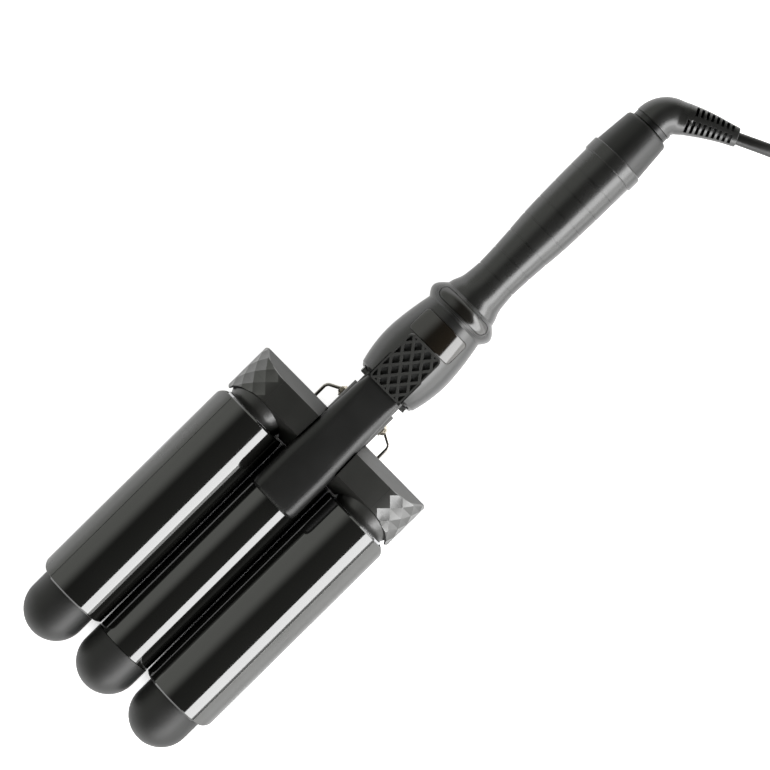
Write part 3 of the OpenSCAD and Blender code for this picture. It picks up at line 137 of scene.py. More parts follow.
def surface(name, ownLook):
    # A moulded, coated or metal surface whose tone and roughness change a little across it
    look = {**plainLook, **ownLook}
    material = bpy.data.materials.new(name)
    material.use_nodes = True
    tree = material.node_tree
    shader = tree.nodes["Principled BSDF"]
    grain = tree.nodes.new("ShaderNodeGroup")
    grain.node_tree = grainGroup
    grain.inputs["Grain Size"].default_value = look["grainSize"]
    grain.inputs["Cloud Size"].default_value = look["cloudSize"]
    clouds = grain.outputs["Clouds"]

    tone = tree.nodes.new("ShaderNodeMix")
    tone.data_type = "RGBA"
    for socket, change in (("A", -look["toneSpread"]), ("B", look["toneSpread"])):
        tone.inputs[socket].default_value = (*[c * (1 + change) for c in look["color"]], 1)
    cloudRange = grainSettings["cloudRange"]
    factor = mapRange(tree, clouds, cloudRange, (0, 1))
    tree.links.new(factor, tone.inputs["Factor"])
    tree.links.new(tone.outputs["Result"], shader.inputs["Base Color"])

    rough, spread = look["roughness"], look["roughSpread"]
    roughness = mapRange(tree, clouds, cloudRange, (rough - spread, rough + spread))
    tree.links.new(roughness, shader.inputs["Roughness"])

    if look["bump"] > 0:
        bump = tree.nodes.new("ShaderNodeBump")
        bump.inputs["Strength"].default_value = look["bump"]
        bump.inputs["Distance"].default_value = grainSettings["bumpDepth"]
        tree.links.new(grain.outputs["Height"], bump.inputs["Height"])
        tree.links.new(bump.outputs["Normal"], shader.inputs["Normal"])

    shader.inputs["Metallic"].default_value = look["metallic"]
    shader.inputs["IOR"].default_value = look["ior"]
    return material


looks = {
    "barrelGloss": {"color": (0.0055, 0.0055, 0.005), "roughness": 0.075, "roughSpread": 0.015,
                    "ior": 1.9, "cloudSize": 30.0},
    "guardSatin": {"color": (0.044, 0.044, 0.042), "roughness": 0.3, "ior": 1.75, "bump": 0.25,
                   "grainSize": 2400.0},
    "tipSatin": {"color": (0.0155, 0.0155, 0.015), "roughness": 0.5, "bump": 0.35,
                 "grainSize": 2200.0},
    "yokeSatin": {"color": (0.019, 0.019, 0.0175), "roughness": 0.4, "bump": 0.35,
                  "grainSize": 2400.0},
    "knurlSatin": {"color": (0.017, 0.017, 0.0155), "roughness": 0.3, "ior": 1.88, "bump": 0.3,
                   "grainSize": 2400.0},
    "collarSatin": {"color": (0.02, 0.02, 0.0185), "roughness": 0.37, "ior": 1.72, "bump": 0.3,
                    "grainSize": 2400.0},
    "leverSatin": {"color": (0.0045, 0.0045, 0.0042), "roughness": 0.44, "ior": 1.53,
                   "bump": 0.35, "grainSize": 2400.0},
    "capSatin": {"color": (0.0065, 0.0065, 0.006), "roughness": 0.4, "ior": 1.47, "bump": 0.35,
                 "grainSize": 2200.0},
    "swivelBlack": {"color": (0.003, 0.003, 0.003), "roughness": 0.3, "bump": 0.1},
    "hubSatin": {"color": (0.0125, 0.0125, 0.012), "roughness": 0.31, "ior": 1.6, "bump": 0.3,
                 "grainSize": 2400.0},
    "gripSoft": {"color": (0.0125, 0.0125, 0.0118), "roughness": 0.27, "ior": 1.65, "bump": 0.3,
                 "grainSize": 2200.0},
    "lensGloss": {"color": (0.0078, 0.0055, 0.0032), "roughness": 0.12, "roughSpread": 0.02,
                  "ior": 1.75},
    "rockerGloss": {"color": (0.0065, 0.0055, 0.0042), "roughness": 0.19, "roughSpread": 0.02,
                    "ior": 1.68},
    "padRubber": {"color": (0.025, 0.025, 0.0235), "roughness": 0.45, "bump": 0.3},
    # The pockets' floors: rougher than the ribs, and darker as painted shade
    "padPocket": {"color": (0.011, 0.011, 0.0105), "roughness": 0.6, "bump": 0.3},
    # Near-black for the strain relief's windows: painted shade inside the slots
    "slotBlack": {"color": (0.0012, 0.0012, 0.0012), "roughness": 0.6, "bump": 0.2},
    "elbowSatin": {"color": (0.0115, 0.0115, 0.011), "roughness": 0.28, "ior": 1.62, "bump": 0.2},
    "cordRubber": {"color": (0.006, 0.006, 0.0055), "roughness": 0.38, "bump": 0.2,
                   "cloudSize": 60.0},
    "wireChrome": {"color": (0.42, 0.4, 0.37), "roughness": 0.24, "metallic": 1.0},
    "bushNickel": {"color": (0.66, 0.6, 0.5), "roughness": 0.3, "metallic": 1.0,
                   "toneSpread": 0.1},
    "plainSteel": {"color": (0.45, 0.45, 0.45), "roughness": 0.32, "metallic": 1.0},
    "innerMetal": {"color": (0.6, 0.6, 0.62), "roughness": 0.4, "metallic": 1.0},
    "heaterCeramic": {"color": (0.72, 0.7, 0.62), "roughness": 0.6, "bump": 0.2},
    "boardGreen": {"color": (0.02, 0.14, 0.05), "roughness": 0.45, "bump": 0.3,
                   "grainSize": 900.0},
    "innerPlastic": {"color": (0.02, 0.02, 0.02), "roughness": 0.42, "bump": 0.2},
    "bushWhite": {"color": (0.7, 0.7, 0.67), "roughness": 0.45},
    "leadInsulation": {"color": (0.4, 0.05, 0.035), "roughness": 0.5},
    "bladeBrass": {"color": (0.72, 0.6, 0.34), "roughness": 0.25, "metallic": 1.0},
}
materials = {name: surface(name, look) for name, look in looks.items()}
print("materials made:", len(materials))


# ---- making pieces

# How near two points have to be to become one
mergeWithin = {
    "copy": 0.002 * mm,
    "spin": 0.003 * mm,
    "cut": 0.01 * mm,
}
edgeSegments = 2


def addObject(name, data):
    made = bpy.data.objects.new(name, data)
    bpy.context.scene.collection.objects.link(made)
    return made


def addPiece(name, bm, nodeName, finishes, smoothAngle, bevel=0.0):
    # Turns a bmesh into a finished piece that stands for the named solid
    bmesh.ops.recalc_face_normals(bm, faces=bm.faces)
    mesh = bpy.data.meshes.new(name)
    bm.to_mesh(mesh)
    bm.free()
    if "custom_normal" in mesh.attributes:
        mesh.attributes.remove(mesh.attributes["custom_normal"])
    for polygon in mesh.polygons:
        polygon.use_smooth = True
    mesh.set_sharp_from_angle(angle=math.radians(smoothAngle))
    for finish in finishes.split():
        mesh.materials.append(materials[finish])
    piece = addObject(name, mesh)
    if bevel > 0:
        rounding = piece.modifiers.new("edges", "BEVEL")
        rounding.width = bevel * mm
        rounding.segments = edgeSegments
        rounding.limit_method = "ANGLE"
        rounding.angle_limit = math.radians(smoothAngle)
        rounding.harden_normals = True
    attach(piece, bodyOfNode[nodeName])
    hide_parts(nodeName)


def solidCopy(nodeName):
    # The solid's own mesh, merged, so that it can be shaded smoothly
    bm = bmesh.new()
    bm.from_mesh(cadNodes[nodeName].data)
    bmesh.ops.remove_doubles(bm, verts=bm.verts, dist=mergeWithin["copy"])
    bmesh.ops.dissolve_degenerate(bm, edges=bm.edges, dist=mergeWithin["copy"])
    return bm


def spinAboutX(profile, y, steps):
    # Turns a profile of (x, radius) in mm about the line along X at side offset y in mm
    bm = bmesh.new()
    verts = [bm.verts.new(axisPoint(x * mm, y * mm) + Vector((0, 0, r * mm))) for x, r in profile]
    edges = [bm.edges.new(pair) for pair in zip(verts, verts[1:])]
    bmesh.ops.spin(
        bm,
        geom=verts + edges,
        cent=axisPoint(0, y * mm),
        axis=(1, 0, 0),
        angle=2 * math.pi,
        steps=steps,
        use_merge=True,
    )
    bmesh.ops.remove_doubles(bm, verts=bm.verts, dist=mergeWithin["spin"])
    return bm


def arc(centreX, centreR, radius, fromDegrees, toDegrees, count):
    # Points of an arc in a profile, with 0 degrees along +X and 90 outward
    angles = [
        math.radians(fromDegrees + (toDegrees - fromDegrees) * i / count)
        for i in range(count + 1)
    ]
    return [(centreX + radius * math.cos(a), centreR + radius * math.sin(a)) for a in angles]


# ---- barrels and tips

barrels = {
    "frontX": -180.0,
    "rootX": -56.0,
    "pitch": 36.2,
    "middleR": 15.8,
    "innerR": 14.6,
    "rim": 0.5,                # the radius of a tube's rounded rims
    "rimSteps": 5,
    "sides": 160,
    "smoothAngle": 35,
}
tips = {
    "radius": 16.0,
    "straight": 9.8,           # from the dome's foot to the barrel
    "domeSteps": 28,
    "sides": 96,
    "smoothAngle": 60,
}


def tubeProfile(x0, x1, outerR, innerR, rim):
    # A tube's profile with rounded rims, closed back to its start
    steps = barrels["rimSteps"]
    return (
        [(x0, innerR)]
        + arc(x0 + rim, outerR - rim, rim, 180, 90, steps)
        + arc(x1 - rim, outerR - rim, rim, 90, 0, steps)
        + [(x1, innerR), (x0, innerR)]
    )


def makeTip(side, y):
    radius, end = tips["radius"], barrels["frontX"]
    dome = arc(end - tips["straight"], 0.0, radius, 180, 90, tips["domeSteps"])
    shape = spinAboutX(dome + [(end, radius), (end, 0.0)], y, tips["sides"])
    addPiece(f"roundTip_{side}", shape, f"barrel_tip_{side}", "tipSatin", tips["smoothAngle"])


def makeMiddleBarrel():
    b = barrels
    profile = tubeProfile(b["frontX"], b["rootX"], b["middleR"], b["innerR"], b["rim"])
    shape = spinAboutX(profile, 0.0, b["sides"])
    addPiece("middleBarrel", shape, "barrel_middle", "barrelGloss", b["smoothAngle"])


for side, y in (("left", barrels["pitch"]), ("right", -barrels["pitch"]), ("middle", 0.0)):
    makeTip(side, y)
makeMiddleBarrel()
print("barrels made")


# ---- copies of the exact solids, smoothly shaded

# Each one's finish or finishes, the angle up to which it is shaded smoothly, and its bevel in mm
copies = {
    "barrel_left": ("barrelGloss", 35, 0.1),
    "barrel_right": ("barrelGloss", 35, 0.1),
    "side_guard_left": ("guardSatin", 35, 0.25),
    "side_guard_right": ("guardSatin", 35, 0.25),
    "barrel_collar_left": ("collarSatin", 35, 0.3),
    "barrel_collar_right": ("collarSatin", 35, 0.3),
    "barrel_collar_middle": ("yokeSatin", 35, 0.2),
    "yoke_upper": ("yokeSatin knurlSatin", 12, 0.0),
    "yoke_lower": ("yokeSatin knurlSatin", 12, 0.0),
    "neck": ("yokeSatin", 35, 0.3),
    "pivot_pin": ("plainSteel", 35, 0.0),
    "lever_spring": ("plainSteel", 50, 0.0),
    "lever_arm": ("leverSatin", 28, 0.3),
    "thumb_pad": ("padRubber padPocket", 30, 0.15),
    "stand_wire": ("wireChrome", 50, 0.0),
    "stand_bushes": ("bushNickel", 35, 0.1),
    "hub_upper_shell": ("hubSatin", 30, 0.15),
    "hub_lower_shell": ("hubSatin", 30, 0.15),
    "display_window": ("lensGloss", 30, 0.45),
    "ring_collar": ("hubSatin", 30, 0.15),
    "rocker_bezel": ("hubSatin", 30, 0.25),
    "control_rocker": ("rockerGloss", 30, 0.6),
    "handle_grip": ("gripSoft", 40, 0.0),
    "rear_band": ("gripSoft", 30, 0.2),
    "end_cap": ("capSatin", 30, 0.2),
    "swivel_spindle": ("swivelBlack", 30, 0.2),
    "cord_tie": ("cordRubber", 30, 0.2),
    "plug_body": ("cordRubber", 30, 0.3),
    "plug_blades": ("bladeBrass", 30, 0.1),
    "hub_screws": ("plainSteel", 30, 0.1),
    "yoke_screws": ("plainSteel", 30, 0.1),
}


def camelName(nodeName):
    first, *rest = nodeName.split("_")
    return first + "".join(word.capitalize() for word in rest)


lever = {
    "stations": (-78.7, -78.2, -77.1, -75.1, -55.6, -47.2, -27.8, -9.0, -2.4),
    "halfWidths": (10.8, 12.1, 13.0, 13.4, 13.4, 13.1, 12.4, 11.3, 10.2),
    "edges": (5.0, 6.0, 6.0, 6.0, 6.0, 6.0, 6.0, 4.0, 1.6),
    "tops": (37.8, 39.2, 40.2, 40.8, 41.2, 41.4, 41.4, 41.4, 39.8),
    "crown": 0.5,              # how far the top falls towards its edges
    "sharper": 0.4,            # how much smaller the edge radius looks
    "crownEnds": (-30.0, -9.0),     # the crown fades out between these
    "cuts": (-8.5, -7.0, -5.6, -4.2, -2.8, -1.4, 0.0, 1.4, 2.8, 4.2, 5.6, 7.0, 8.5),
    "saddleRadius": 16.3,           # the saddle's hollow lies within this, and isn't changed
    "edgeMargin": 0.06,             # only what lies above the edge's start, less this, changes
}


def between(x, places, values):
    # The value at x on straight lines between the places
    for i in range(len(places) - 1):
        if x <= places[i + 1]:
            t = max(0.0, (x - places[i]) / (places[i + 1] - places[i]))
            return values[i] + t * (values[i + 1] - values[i])
    return values[-1]


def crownLever(bm):
    # Loops along the flat top let it bend down towards its edges
    for y in lever["cuts"]:
        bmesh.ops.bisect_plane(
            bm,
            geom=bm.verts[:] + bm.edges[:] + bm.faces[:],
            dist=mergeWithin["cut"],
            plane_co=(0, y * mm, 0),
            plane_no=(0, 1, 0),
        )
    fadeFrom, fadeTo = lever["crownEnds"]
    for vert in bm.verts:
        x, y, z = vert.co / mm
        if x > fadeTo or math.hypot(y, z - toolAxis["height"]) < lever["saddleRadius"]:
            continue
        halfWidth, edge, top = (
            between(x, lever["stations"], lever[row]) for row in ("halfWidths", "edges", "tops")
        )
        if z < top - edge - lever["edgeMargin"]:
            continue
        fade = min(1.0, (fadeTo - x) / (fadeTo - fadeFrom))

        def drop(radius):
            over = min(radius, max(0.0, abs(y) - halfWidth + radius))
            return radius - math.sqrt(radius ** 2 - over ** 2)

        change = lever["crown"] * (y / halfWidth) ** 2 + drop(edge - lever["sharper"]) - drop(edge)
        vert.co.z -= fade * change * mm


pad = {
    "corner": (-2.1, 39.6),        # x and z of the pad's lower front edge
    "tilt": math.radians(18),
    "pocketFloor": 0.7,            # how far the pockets' floors lie above that edge
    "floorWithin": 0.05,           # a vertex this near to a floor's height belongs to it
    "deeper": 0.4,
}


def deepenPockets(bm):
    # The pockets' floors go down a little and take a rougher finish with a darker colour, which is
    # painted shade in the pockets
    up = Vector((-math.sin(pad["tilt"]), 0, math.cos(pad["tilt"])))
    start = Vector((pad["corner"][0], 0, pad["corner"][1])) * mm

    def isFloor(vert):
        above = (vert.co - start).dot(up) / mm
        return abs(above - pad["pocketFloor"]) < pad["floorWithin"]

    floor = [vert for vert in bm.verts if isFloor(vert)]
    inFloor = set(floor)
    for face in bm.faces:
        if all(v in inFloor for v in face.verts):
            face.material_index = 1
    bmesh.ops.translate(bm, verts=floor, vec=-pad["deeper"] * mm * up)


yoke = {
    "endRadius": 18.6,
    "fromMiddle": 0.5,         # the diamonds start this far beyond an outer barrel's middle
    "diamondDepths": (0.05, 1.0),   # vertices between these depths belong to the diamonds
    "deeper": 1.2,             # how many times deeper the diamonds are cut
    "finishDepth": 1.4,        # faces this near to the end's surface take the diamonds' finish
    "notchHalfWidth": 14.0,
    "notchWithin": 0.02,
    "notchBottom": 31.0,
    "notchGap": 0.2,           # the notch stands this close to the lever
}


def sharpenYoke(bm):
    # Cuts the diamonds deeper, gives them their finish and draws the notch in to the lever
    pitch, endRadius, middleHeight = barrels["pitch"], yoke["endRadius"], toolAxis["height"]
    shallow, deep = yoke["diamondDepths"]
    notchHalfWidth = yoke["notchHalfWidth"]
    for vert in bm.verts:
        x, y, z = vert.co / mm
        out, up = abs(y) - pitch, z - middleHeight
        radius = math.hypot(out, up)
        if out > yoke["fromMiddle"] and endRadius - deep < radius < endRadius - shallow:
            stretch = (endRadius - yoke["deeper"] * (endRadius - radius)) / radius
            vert.co.y = math.copysign(pitch + out * stretch, y) * mm
            vert.co.z = (middleHeight + up * stretch) * mm
        elif abs(abs(y) - notchHalfWidth) < yoke["notchWithin"] and z > yoke["notchBottom"]:
            halfWidth = between(x, lever["stations"], lever["halfWidths"])
            vert.co.y = math.copysign(halfWidth + yoke["notchGap"], y) * mm
    for face in bm.faces:
        middle = face.calc_center_median() / mm
        out, up = abs(middle.y) - pitch, middle.z - middleHeight
        if out > yoke["fromMiddle"] and math.hypot(out, up) > endRadius - yoke["finishDepth"]:
            face.material_index = 1


shaping = {
    "lever_arm": crownLever,
    "thumb_pad": deepenPockets,
    "yoke_upper": sharpenYoke,
    "yoke_lower": sharpenYoke,
}

for nodeName, (finishes, smoothAngle, bevel) in copies.items():
    solid = solidCopy(nodeName)
    if nodeName in shaping:
        shaping[nodeName](solid)
    addPiece(camelName(nodeName), solid, nodeName, finishes, smoothAngle, bevel)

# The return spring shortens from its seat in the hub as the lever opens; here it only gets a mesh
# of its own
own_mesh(bpy.data.objects["leverSpring"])
print("smooth copies made:", len(copies))


# ---- the elbow and the strain relief, lofted along the cord's way out

elbow = {
    "startX": 180.8,
    "cornerX": 189.0,          # where the handle's line and the cord's line cross
    "bendRadius": 11.0,
    "turn": math.atan2(4.2, 2.0),
    "startRadius": 10.4,
    "startRim": (0.15, 0.4),   # the small step at its start: its length and its depth
    "steps": 14,
    "endWidth": 8.75,
    "endHeight": 8.1,
    "endShift": -0.4,
    "easing": (0.45, 0.55),    # how much of the narrowing is even, and how much comes late
    # along the cord's line: place, half width, sideways shift
    "after": ((7.6, 8.55, -0.25), (9.3, 8.3, 0.0), (11.0, 8.1, 0.3)),
    "afterHeight": 8.0,
    "sides": 48,
    "smoothAngle": 45,
}
relief = {
    # along the cord's line: place, radius, sideways shift
    "stations": (
        (11.0, 8.0, 0.3), (14.0, 7.7, 0.55), (18.0, 7.2, 0.8), (22.0, 6.7, 0.95),
        (26.0, 6.15, 0.95), (30.0, 5.6, 0.8), (34.0, 5.2, 0.6), (37.1, 4.9, 0.45),
    ),
    "endRim": (0.25, 0.3),     # the narrowing at its end: its length and its depth
    "firstSlot": 12.1,
    "slotPitch": 2.7,
    "slotWidth": 1.45,
    "slotCount": 9,
    "floorRadius": 3.6,
    # each window row: from and to, in degrees round the sleeve, with 0 on top; and its first slot
    "rows": ((-60, -5, 0), (15, 60, 1), (-175, -120, 0), (120, 165, 1)),
    "sides": 72,
    "smoothAngle": 35,
    "bevel": 0.08,
}


def headingVectors(angle):
    # Ahead and to the left of a heading in the ground plane
    return (
        Vector((math.cos(angle), math.sin(angle), 0)),
        Vector((-math.sin(angle), math.cos(angle), 0)),
    )


def stationMatrix(place, heading, halfWidth, height):
    # A ring's own Z runs along the heading, its X sideways and its Y upwards
    ahead, aside = headingVectors(heading)
    turn = Matrix((aside, Vector((0, 0, 1)), ahead)).transposed().to_4x4()
    return Matrix.Translation(place * mm) @ turn @ Matrix.Diagonal((halfWidth, height, 1, 1))


def loftRings(stations, sides):
    # One circle is extruded from station to station
    bm = bmesh.new()
    bmesh.ops.create_circle(
        bm,
        cap_ends=True,
        radius=mm,
        segments=sides,
        matrix=stations[0],
    )
    edges = bm.edges[:]
    for before, after in zip(stations, stations[1:]):
        made = bmesh.ops.extrude_edge_only(bm, edges=edges)["geom"]
        edges = [g for g in made if isinstance(g, bmesh.types.BMEdge)]
        ring = [g for g in made if isinstance(g, bmesh.types.BMVert)]
        bmesh.ops.transform(bm, matrix=after @ before.inverted(), verts=ring)
    bmesh.ops.holes_fill(bm, edges=edges, sides=0)
    return bm


def cordLinePoint(s, shift):
    ahead, aside = headingVectors(-elbow["turn"])
    return Vector((elbow["cornerX"], 0, toolAxis["height"])) + s * ahead + shift * aside


def makeElbow():
    e = elbow
    turn, bend, startRadius = e["turn"], e["bendRadius"], e["startRadius"]
    middleHeight = toolAxis["height"]
    first = Vector((e["startX"], 0, middleHeight))
    rimLength, rimDepth = e["startRim"]
    rimRadius = startRadius - rimDepth
    stations = [
        stationMatrix(first, 0, rimRadius, rimRadius),
        stationMatrix(first + Vector((rimLength, 0, 0)), 0, startRadius, startRadius),
    ]
    arcStart = e["cornerX"] - bend * math.tan(turn / 2)
    even, late = e["easing"]
    for i in range(e["steps"] + 1):
        t = i / e["steps"]
        eased = even * t + late * t * t
        width = startRadius + (e["endWidth"] - startRadius) * eased
        height = startRadius + (e["endHeight"] - startRadius) * eased
        angle = turn * t
        aside = headingVectors(-angle)[1]
        x, y = arcStart + bend * math.sin(angle), -bend * (1 - math.cos(angle))
        place = Vector((x, y, middleHeight)) + e["endShift"] * t * aside
        stations.append(stationMatrix(place, -angle, width, height))
    for s, width, shift in e["after"]:
        height = min(width, e["afterHeight"])
        stations.append(stationMatrix(cordLinePoint(s, shift), -turn, width, height))
    bm = loftRings(stations, e["sides"])
    addPiece("cordElbow", bm, "cord_elbow", "elbowSatin", e["smoothAngle"])


def makeRelief():
    r = relief
    places, radii, shifts = zip(*r["stations"])
    slots = [r["firstSlot"] + k * r["slotPitch"] for k in range(r["slotCount"])]
    halfSlot = r["slotWidth"] / 2
    cuts = sorted([*places, *(c + d * halfSlot for c in slots for d in (-1, 1))])

    def shiftAt(s):
        return between(s, places, shifts)

    def station(s, depth=0.0):
        radius = between(s, places, radii) - depth
        return stationMatrix(cordLinePoint(s, shiftAt(s)), -elbow["turn"], radius, radius)

    rimLength, rimDepth = r["endRim"]
    stations = [station(s) for s in cuts] + [station(places[-1] + rimLength, rimDepth)]
    bm = loftRings(stations, r["sides"])

    start = cordLinePoint(0, 0)
    ahead, aside = headingVectors(-elbow["turn"])
    windows = []
    for face in bm.faces:
        middle = face.calc_center_median() / mm - start
        s = middle.dot(ahead)
        angle = math.degrees(math.atan2(middle.dot(aside) - shiftAt(s), middle.z))
        for low, high, firstSlot in r["rows"]:
            if len(face.verts) == 4 and low < angle < high:
                if any(abs(s - c) < halfSlot for c in slots[firstSlot:]):
                    windows.append(face)

    # The windows' faces move in, and the ones that they came from go
    made = bmesh.ops.extrude_face_region(bm, geom=windows)["geom"]
    bmesh.ops.delete(bm, geom=windows, context="FACES_ONLY")
    for vert in (g for g in made if isinstance(g, bmesh.types.BMVert)):
        s = (vert.co / mm - start).dot(ahead)
        centre = cordLinePoint(s, shiftAt(s))
        out = vert.co / mm - centre
        vert.co = (centre + out.normalized() * r["floorRadius"]) * mm
        # The windows' floors and walls take the near-black painted shade
        for face in vert.link_faces:
            face.material_index = 1
    finishes = "elbowSatin slotBlack"
    addPiece("strainRelief", bm, "strain_relief", finishes, r["smoothAngle"], r["bevel"])


makeElbow()
makeRelief()
print("elbow and strain relief made")


# ---- the cord

cord = {
    "radius": 3.2,
    "exit": (205.0, -33.6),
    "step": (2.0, -4.2),
    "heights": (20, 20, 20, 19.8, 19.1, 17.8, 15.9, 13.6, 11.1, 8.8, 6.9, 5.5, 4.6, 4.2),
    "turns": 7.5,
    "pitch": 6.9,
    "rise": 6.9,
    "innerR": 25.6,
    "climbTurns": 0.5,         # how much of a turn the climb to the upper layer takes
    "pointsPerTurn": 48,
    "headingStep": 0.01,
    "leadSteps": 4,
    "sideSteps": 5,
    "plugTail": 14.0,          # the straight end that goes into the plug
}


def coilRadius(turn):
    return cord["innerR"] + cord["pitch"] * abs(turn - cord["turns"] / 2)


def coilPoint(turn):
    # The stored coil in its own frame: a spiral in, a climb as it turns back, and a spiral out
    angle = math.radians(360 * turn - 90)
    climb = max(0.0, min(1.0, (turn - cord["turns"] / 2) / cord["climbTurns"] + 0.5))
    outer = coilRadius(0)
    return Vector((
        2 * cord["radius"] + coilRadius(turn) * math.cos(angle),
        outer + coilRadius(turn) * math.sin(angle),
        cord["rise"] * climb,
    ))


def coilHeading(turn, side):
    step = side * cord["headingStep"]
    return side * (coilPoint(turn + step) - coilPoint(turn)).normalized()


def smoothPath(points, steps):
    # A Catmull-Rom curve through the points
    out = []
    for i in range(len(points) - 1):
        a, b = points[max(i - 1, 0)], points[i]
        c, d = points[i + 1], points[min(i + 2, len(points) - 1)]
        straight, square, cube = c - a, 2 * a - 5 * b + 4 * c - d, 3 * b - a - 3 * c + d
        for k in range(steps):
            t = k / steps
            out.append(0.5 * (2 * b + straight * t + square * t * t + cube * t ** 3))
    return out + [points[-1]]


def makeCord():
    (exitX, exitY), (stepX, stepY) = cord["exit"], cord["step"]
    lead = [
        Vector((exitX + i * stepX, exitY + i * stepY, z))
        for i, z in enumerate(cord["heights"])
    ]
    diameter = 2 * cord["radius"]
    last = cord["turns"]
    count = int(last * cord["pointsPerTurn"])
    local = (
        [coilPoint(0) - diameter * coilHeading(0, 1)]
        + [coilPoint(i / cord["pointsPerTurn"]) for i in range(count + 1)]
        + [coilPoint(last) + cord["plugTail"] * coilHeading(last, -1)]
    )
    firstHeading = coilHeading(0, 1)
    turn = math.atan2(stepY, stepX) - math.atan2(firstHeading.y, firstHeading.x)
    turnIn = Matrix.Rotation(turn, 3, "Z")
    coil = [lead[-1] + turnIn @ (point - local[0]) for point in local]
    points = smoothPath(lead, cord["leadSteps"]) + coil[1:]
    curve = bpy.data.curves.new("mainsCord", "CURVE")
    curve.dimensions = "3D"
    spline = curve.splines.new("POLY")
    spline.points.add(len(points) - 1)
    for target, point in zip(spline.points, points):
        target.co = (*(point * mm), 1)
    curve.bevel_depth = cord["radius"] * mm
    curve.bevel_resolution = cord["sideSteps"]
    curve.use_fill_caps = True
    curve.materials.append(materials["cordRubber"])
    piece = addObject("mainsCord", curve)
    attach(piece, bodyOfNode["cord_lead"])
    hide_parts("cord_lead", "cord_coil")


makeCord()


# ---- the inner solids keep their shape and take a finish

materialOfSlot = {
    "steel": "plainSteel",
    "inner_metal": "innerMetal",
    "heater_ceramic": "heaterCeramic",
    "board_green": "boardGreen",
    "inner_plastic": "innerPlastic",
    "bush_white": "bushWhite",
    "lead_insulation": "leadInsulation",
}

for nodeName, node in cadNodes.items():
    if not node.hide_render:
        node.data.materials.clear()
        node.data.materials.append(materials[materialOfSlot[slotOfNode[nodeName]]])


# ---- floor, lamps and camera

floorSettings = {
    "size": 8.0,
    "tone": 0.82,
    "roughness": 0.9,
    "glow": 0.93,              # how bright the paper looks to the camera and in reflections
    "shadowReach": 0.05,       # how near the tool has to be to darken it
    "shadowFade": (0.05, 0.19),
    "shadowSamples": 12,
}
sky = {
    "color": (0.98, 1.0, 0.93, 1),
    "dark": 0.06,
    "side": 0.75,
    "sideFade": (0.2, 0.75),
    "horizon": 0.9,
    "horizonFade": (0.1, 0.34),
}
# Each soft box: brightness, from and to along X, and its upper and lower edge as (y, z)
lamps = (
    ("sideSoftBox", 7.6, (-0.5, 0.46), (-0.245, 0.268), (-0.127, 0.065)),
    ("lowCard", 2.6, (-0.03, 0.46), (-0.127, 0.065), (-0.108, 0.004)),
    ("lowCardAhead", 0.9, (-0.5, -0.03), (-0.127, 0.065), (-0.108, 0.004)),
)
cameraSettings = {
    "above": 1.52,
    "centre": (-0.0004, 0.0012),
    "pixelSize": 0.485 * mm,   # at the height of the tool's axis
    "pixels": 770,
    "sensor": 36.0,
    "clip": (0.05, 30.0),
}


def mathNode(tree, operation, *sources):
    # A node that joins sockets and fixed numbers
    node = tree.nodes.new("ShaderNodeMath")
    node.operation = operation
    for socket, source in zip(node.inputs, sources):
        if isinstance(source, float):
            socket.default_value = source
        else:
            tree.links.new(source, socket)
    return node.outputs["Value"]


def makeFloor():
    # White paper that glows for the camera and in reflections, with a painted shadow that dims the
    # glow near the tool
    f = floorSettings
    bm = bmesh.new()
    bmesh.ops.create_grid(bm, x_segments=1, y_segments=1, size=f["size"] / 2)
    mesh = bpy.data.meshes.new("floor")
    bm.to_mesh(mesh)
    bm.free()
    material = bpy.data.materials.new("whitePaper")
    material.use_nodes = True
    tree = material.node_tree
    shader = tree.nodes["Principled BSDF"]
    shader.inputs["Base Color"].default_value = (f["tone"], f["tone"], f["tone"], 1)
    shader.inputs["Roughness"].default_value = f["roughness"]
    shader.inputs["Specular IOR Level"].default_value = 0.0
    shader.inputs["Emission Color"].default_value = (1, 1, 1, 1)
    path = tree.nodes.new("ShaderNodeLightPath")
    seen = mathNode(tree, "MAXIMUM", path.outputs["Is Camera Ray"], path.outputs["Is Glossy Ray"])
    # Painted shadow: the glow fades where the tool stands close over the floor, and in the gaps
    # between parts
    openness = tree.nodes.new("ShaderNodeAmbientOcclusion")
    openness.samples = f["shadowSamples"]
    openness.inputs["Distance"].default_value = f["shadowReach"]
    fade = mapRange(tree, openness.outputs["AO"], f["shadowFade"], (0, 1), smooth=True)
    bright = mathNode(tree, "MULTIPLY", seen, f["glow"])
    glow = mathNode(tree, "MULTIPLY", bright, fade)
    tree.links.new(glow, shader.inputs["Emission Strength"])
    mesh.materials.append(material)
    addObject("floor", mesh)


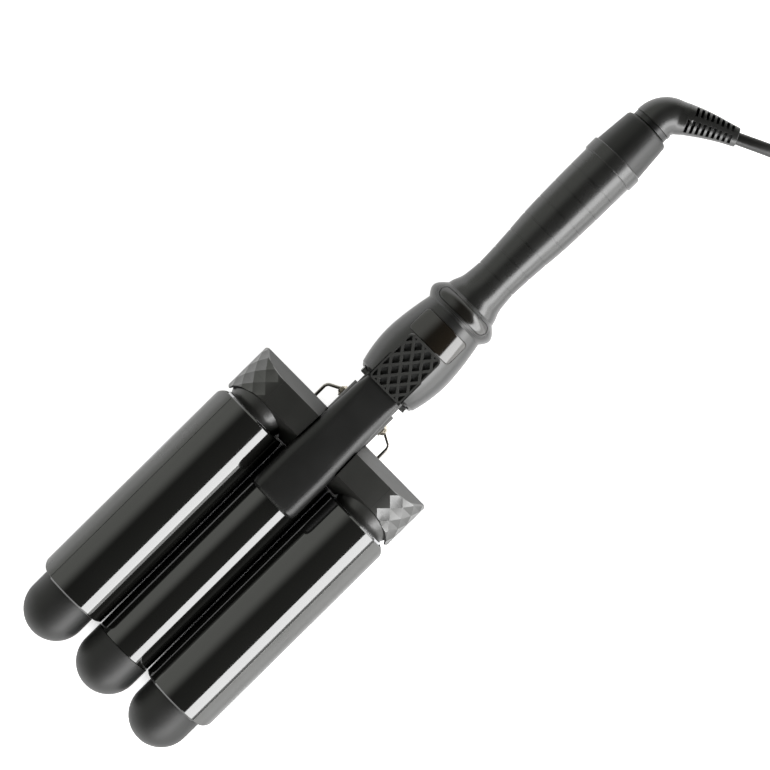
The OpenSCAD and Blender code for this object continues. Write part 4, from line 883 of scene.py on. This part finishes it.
def makeWorld():
    # Dark overhead, lighter to one side, and white where the camera sees past the floor
    world = bpy.data.worlds.new("studio")
    bpy.context.scene.world = world
    world.use_nodes = True
    tree = world.node_tree
    direction = tree.nodes.new("ShaderNodeTexCoord")
    parts = tree.nodes.new("ShaderNodeSeparateXYZ")
    tree.links.new(direction.outputs["Generated"], parts.inputs["Vector"])
    across, up = parts.outputs["Y"], parts.outputs["Z"]
    side = mapRange(tree, across, sky["sideFade"], (sky["dark"], sky["side"]), smooth=True)
    horizon = mapRange(tree, up, sky["horizonFade"], (sky["horizon"], 0.0), smooth=True)
    path = tree.nodes.new("ShaderNodeLightPath")
    strength = tree.nodes.new("ShaderNodeMix")
    strength.data_type = "FLOAT"
    tree.links.new(path.outputs["Is Camera Ray"], strength.inputs["Factor"])
    tree.links.new(mathNode(tree, "MAXIMUM", side, horizon), strength.inputs["A"])
    strength.inputs["B"].default_value = 1.0
    background = tree.nodes["Background"]
    background.inputs["Color"].default_value = sky["color"]
    tree.links.new(strength.outputs["Result"], background.inputs["Strength"])


def makeLamp(name, radiance, span, upper, lower):
    # A rectangular soft box between two edges that run along X, facing the tool
    middle = sum(span) / 2
    upperPoint, lowerPoint = Vector((middle, *upper)), Vector((middle, *lower))
    centre = (upperPoint + lowerPoint) / 2
    lamp = bpy.data.lights.new(name, "AREA")
    lamp.shape = "RECTANGLE"
    lamp.size = span[1] - span[0]
    lamp.size_y = (upperPoint - lowerPoint).length
    lamp.energy = radiance * math.pi * lamp.size * lamp.size_y
    up = (upperPoint - lowerPoint).normalized()
    back = Vector((1, 0, 0)).cross(up)
    if back.dot(centre - axisPoint(0)) < 0:
        back = -back
    turn = Matrix((up.cross(back), up, back)).transposed().to_4x4()
    holder = addObject(name, lamp)
    holder.matrix_world = Matrix.Translation(centre) @ turn
    holder.visible_camera = False


def makeCamera():
    # Straight above the tool, and turned as the picture is
    c = cameraSettings
    data = bpy.data.cameras.new("camera")
    data.sensor_width = c["sensor"]
    distance = c["above"] - toolAxis["height"] * mm
    data.lens = c["sensor"] * distance / (c["pixelSize"] * c["pixels"])
    data.clip_start, data.clip_end = c["clip"]
    right, up = headingVectors(-toolAxis["angleInView"])
    turn = Matrix((right, up, Vector((0, 0, 1)))).transposed().to_4x4()
    camera = addObject("camera", data)
    camera.matrix_world = Matrix.Translation((*c["centre"], c["above"])) @ turn
    bpy.context.scene.camera = camera


makeFloor()
makeWorld()
for lampRow in lamps:
    makeLamp(*lampRow)
makeCamera()
bpy.context.scene.view_settings.view_transform = "Standard"

print("scene ready")
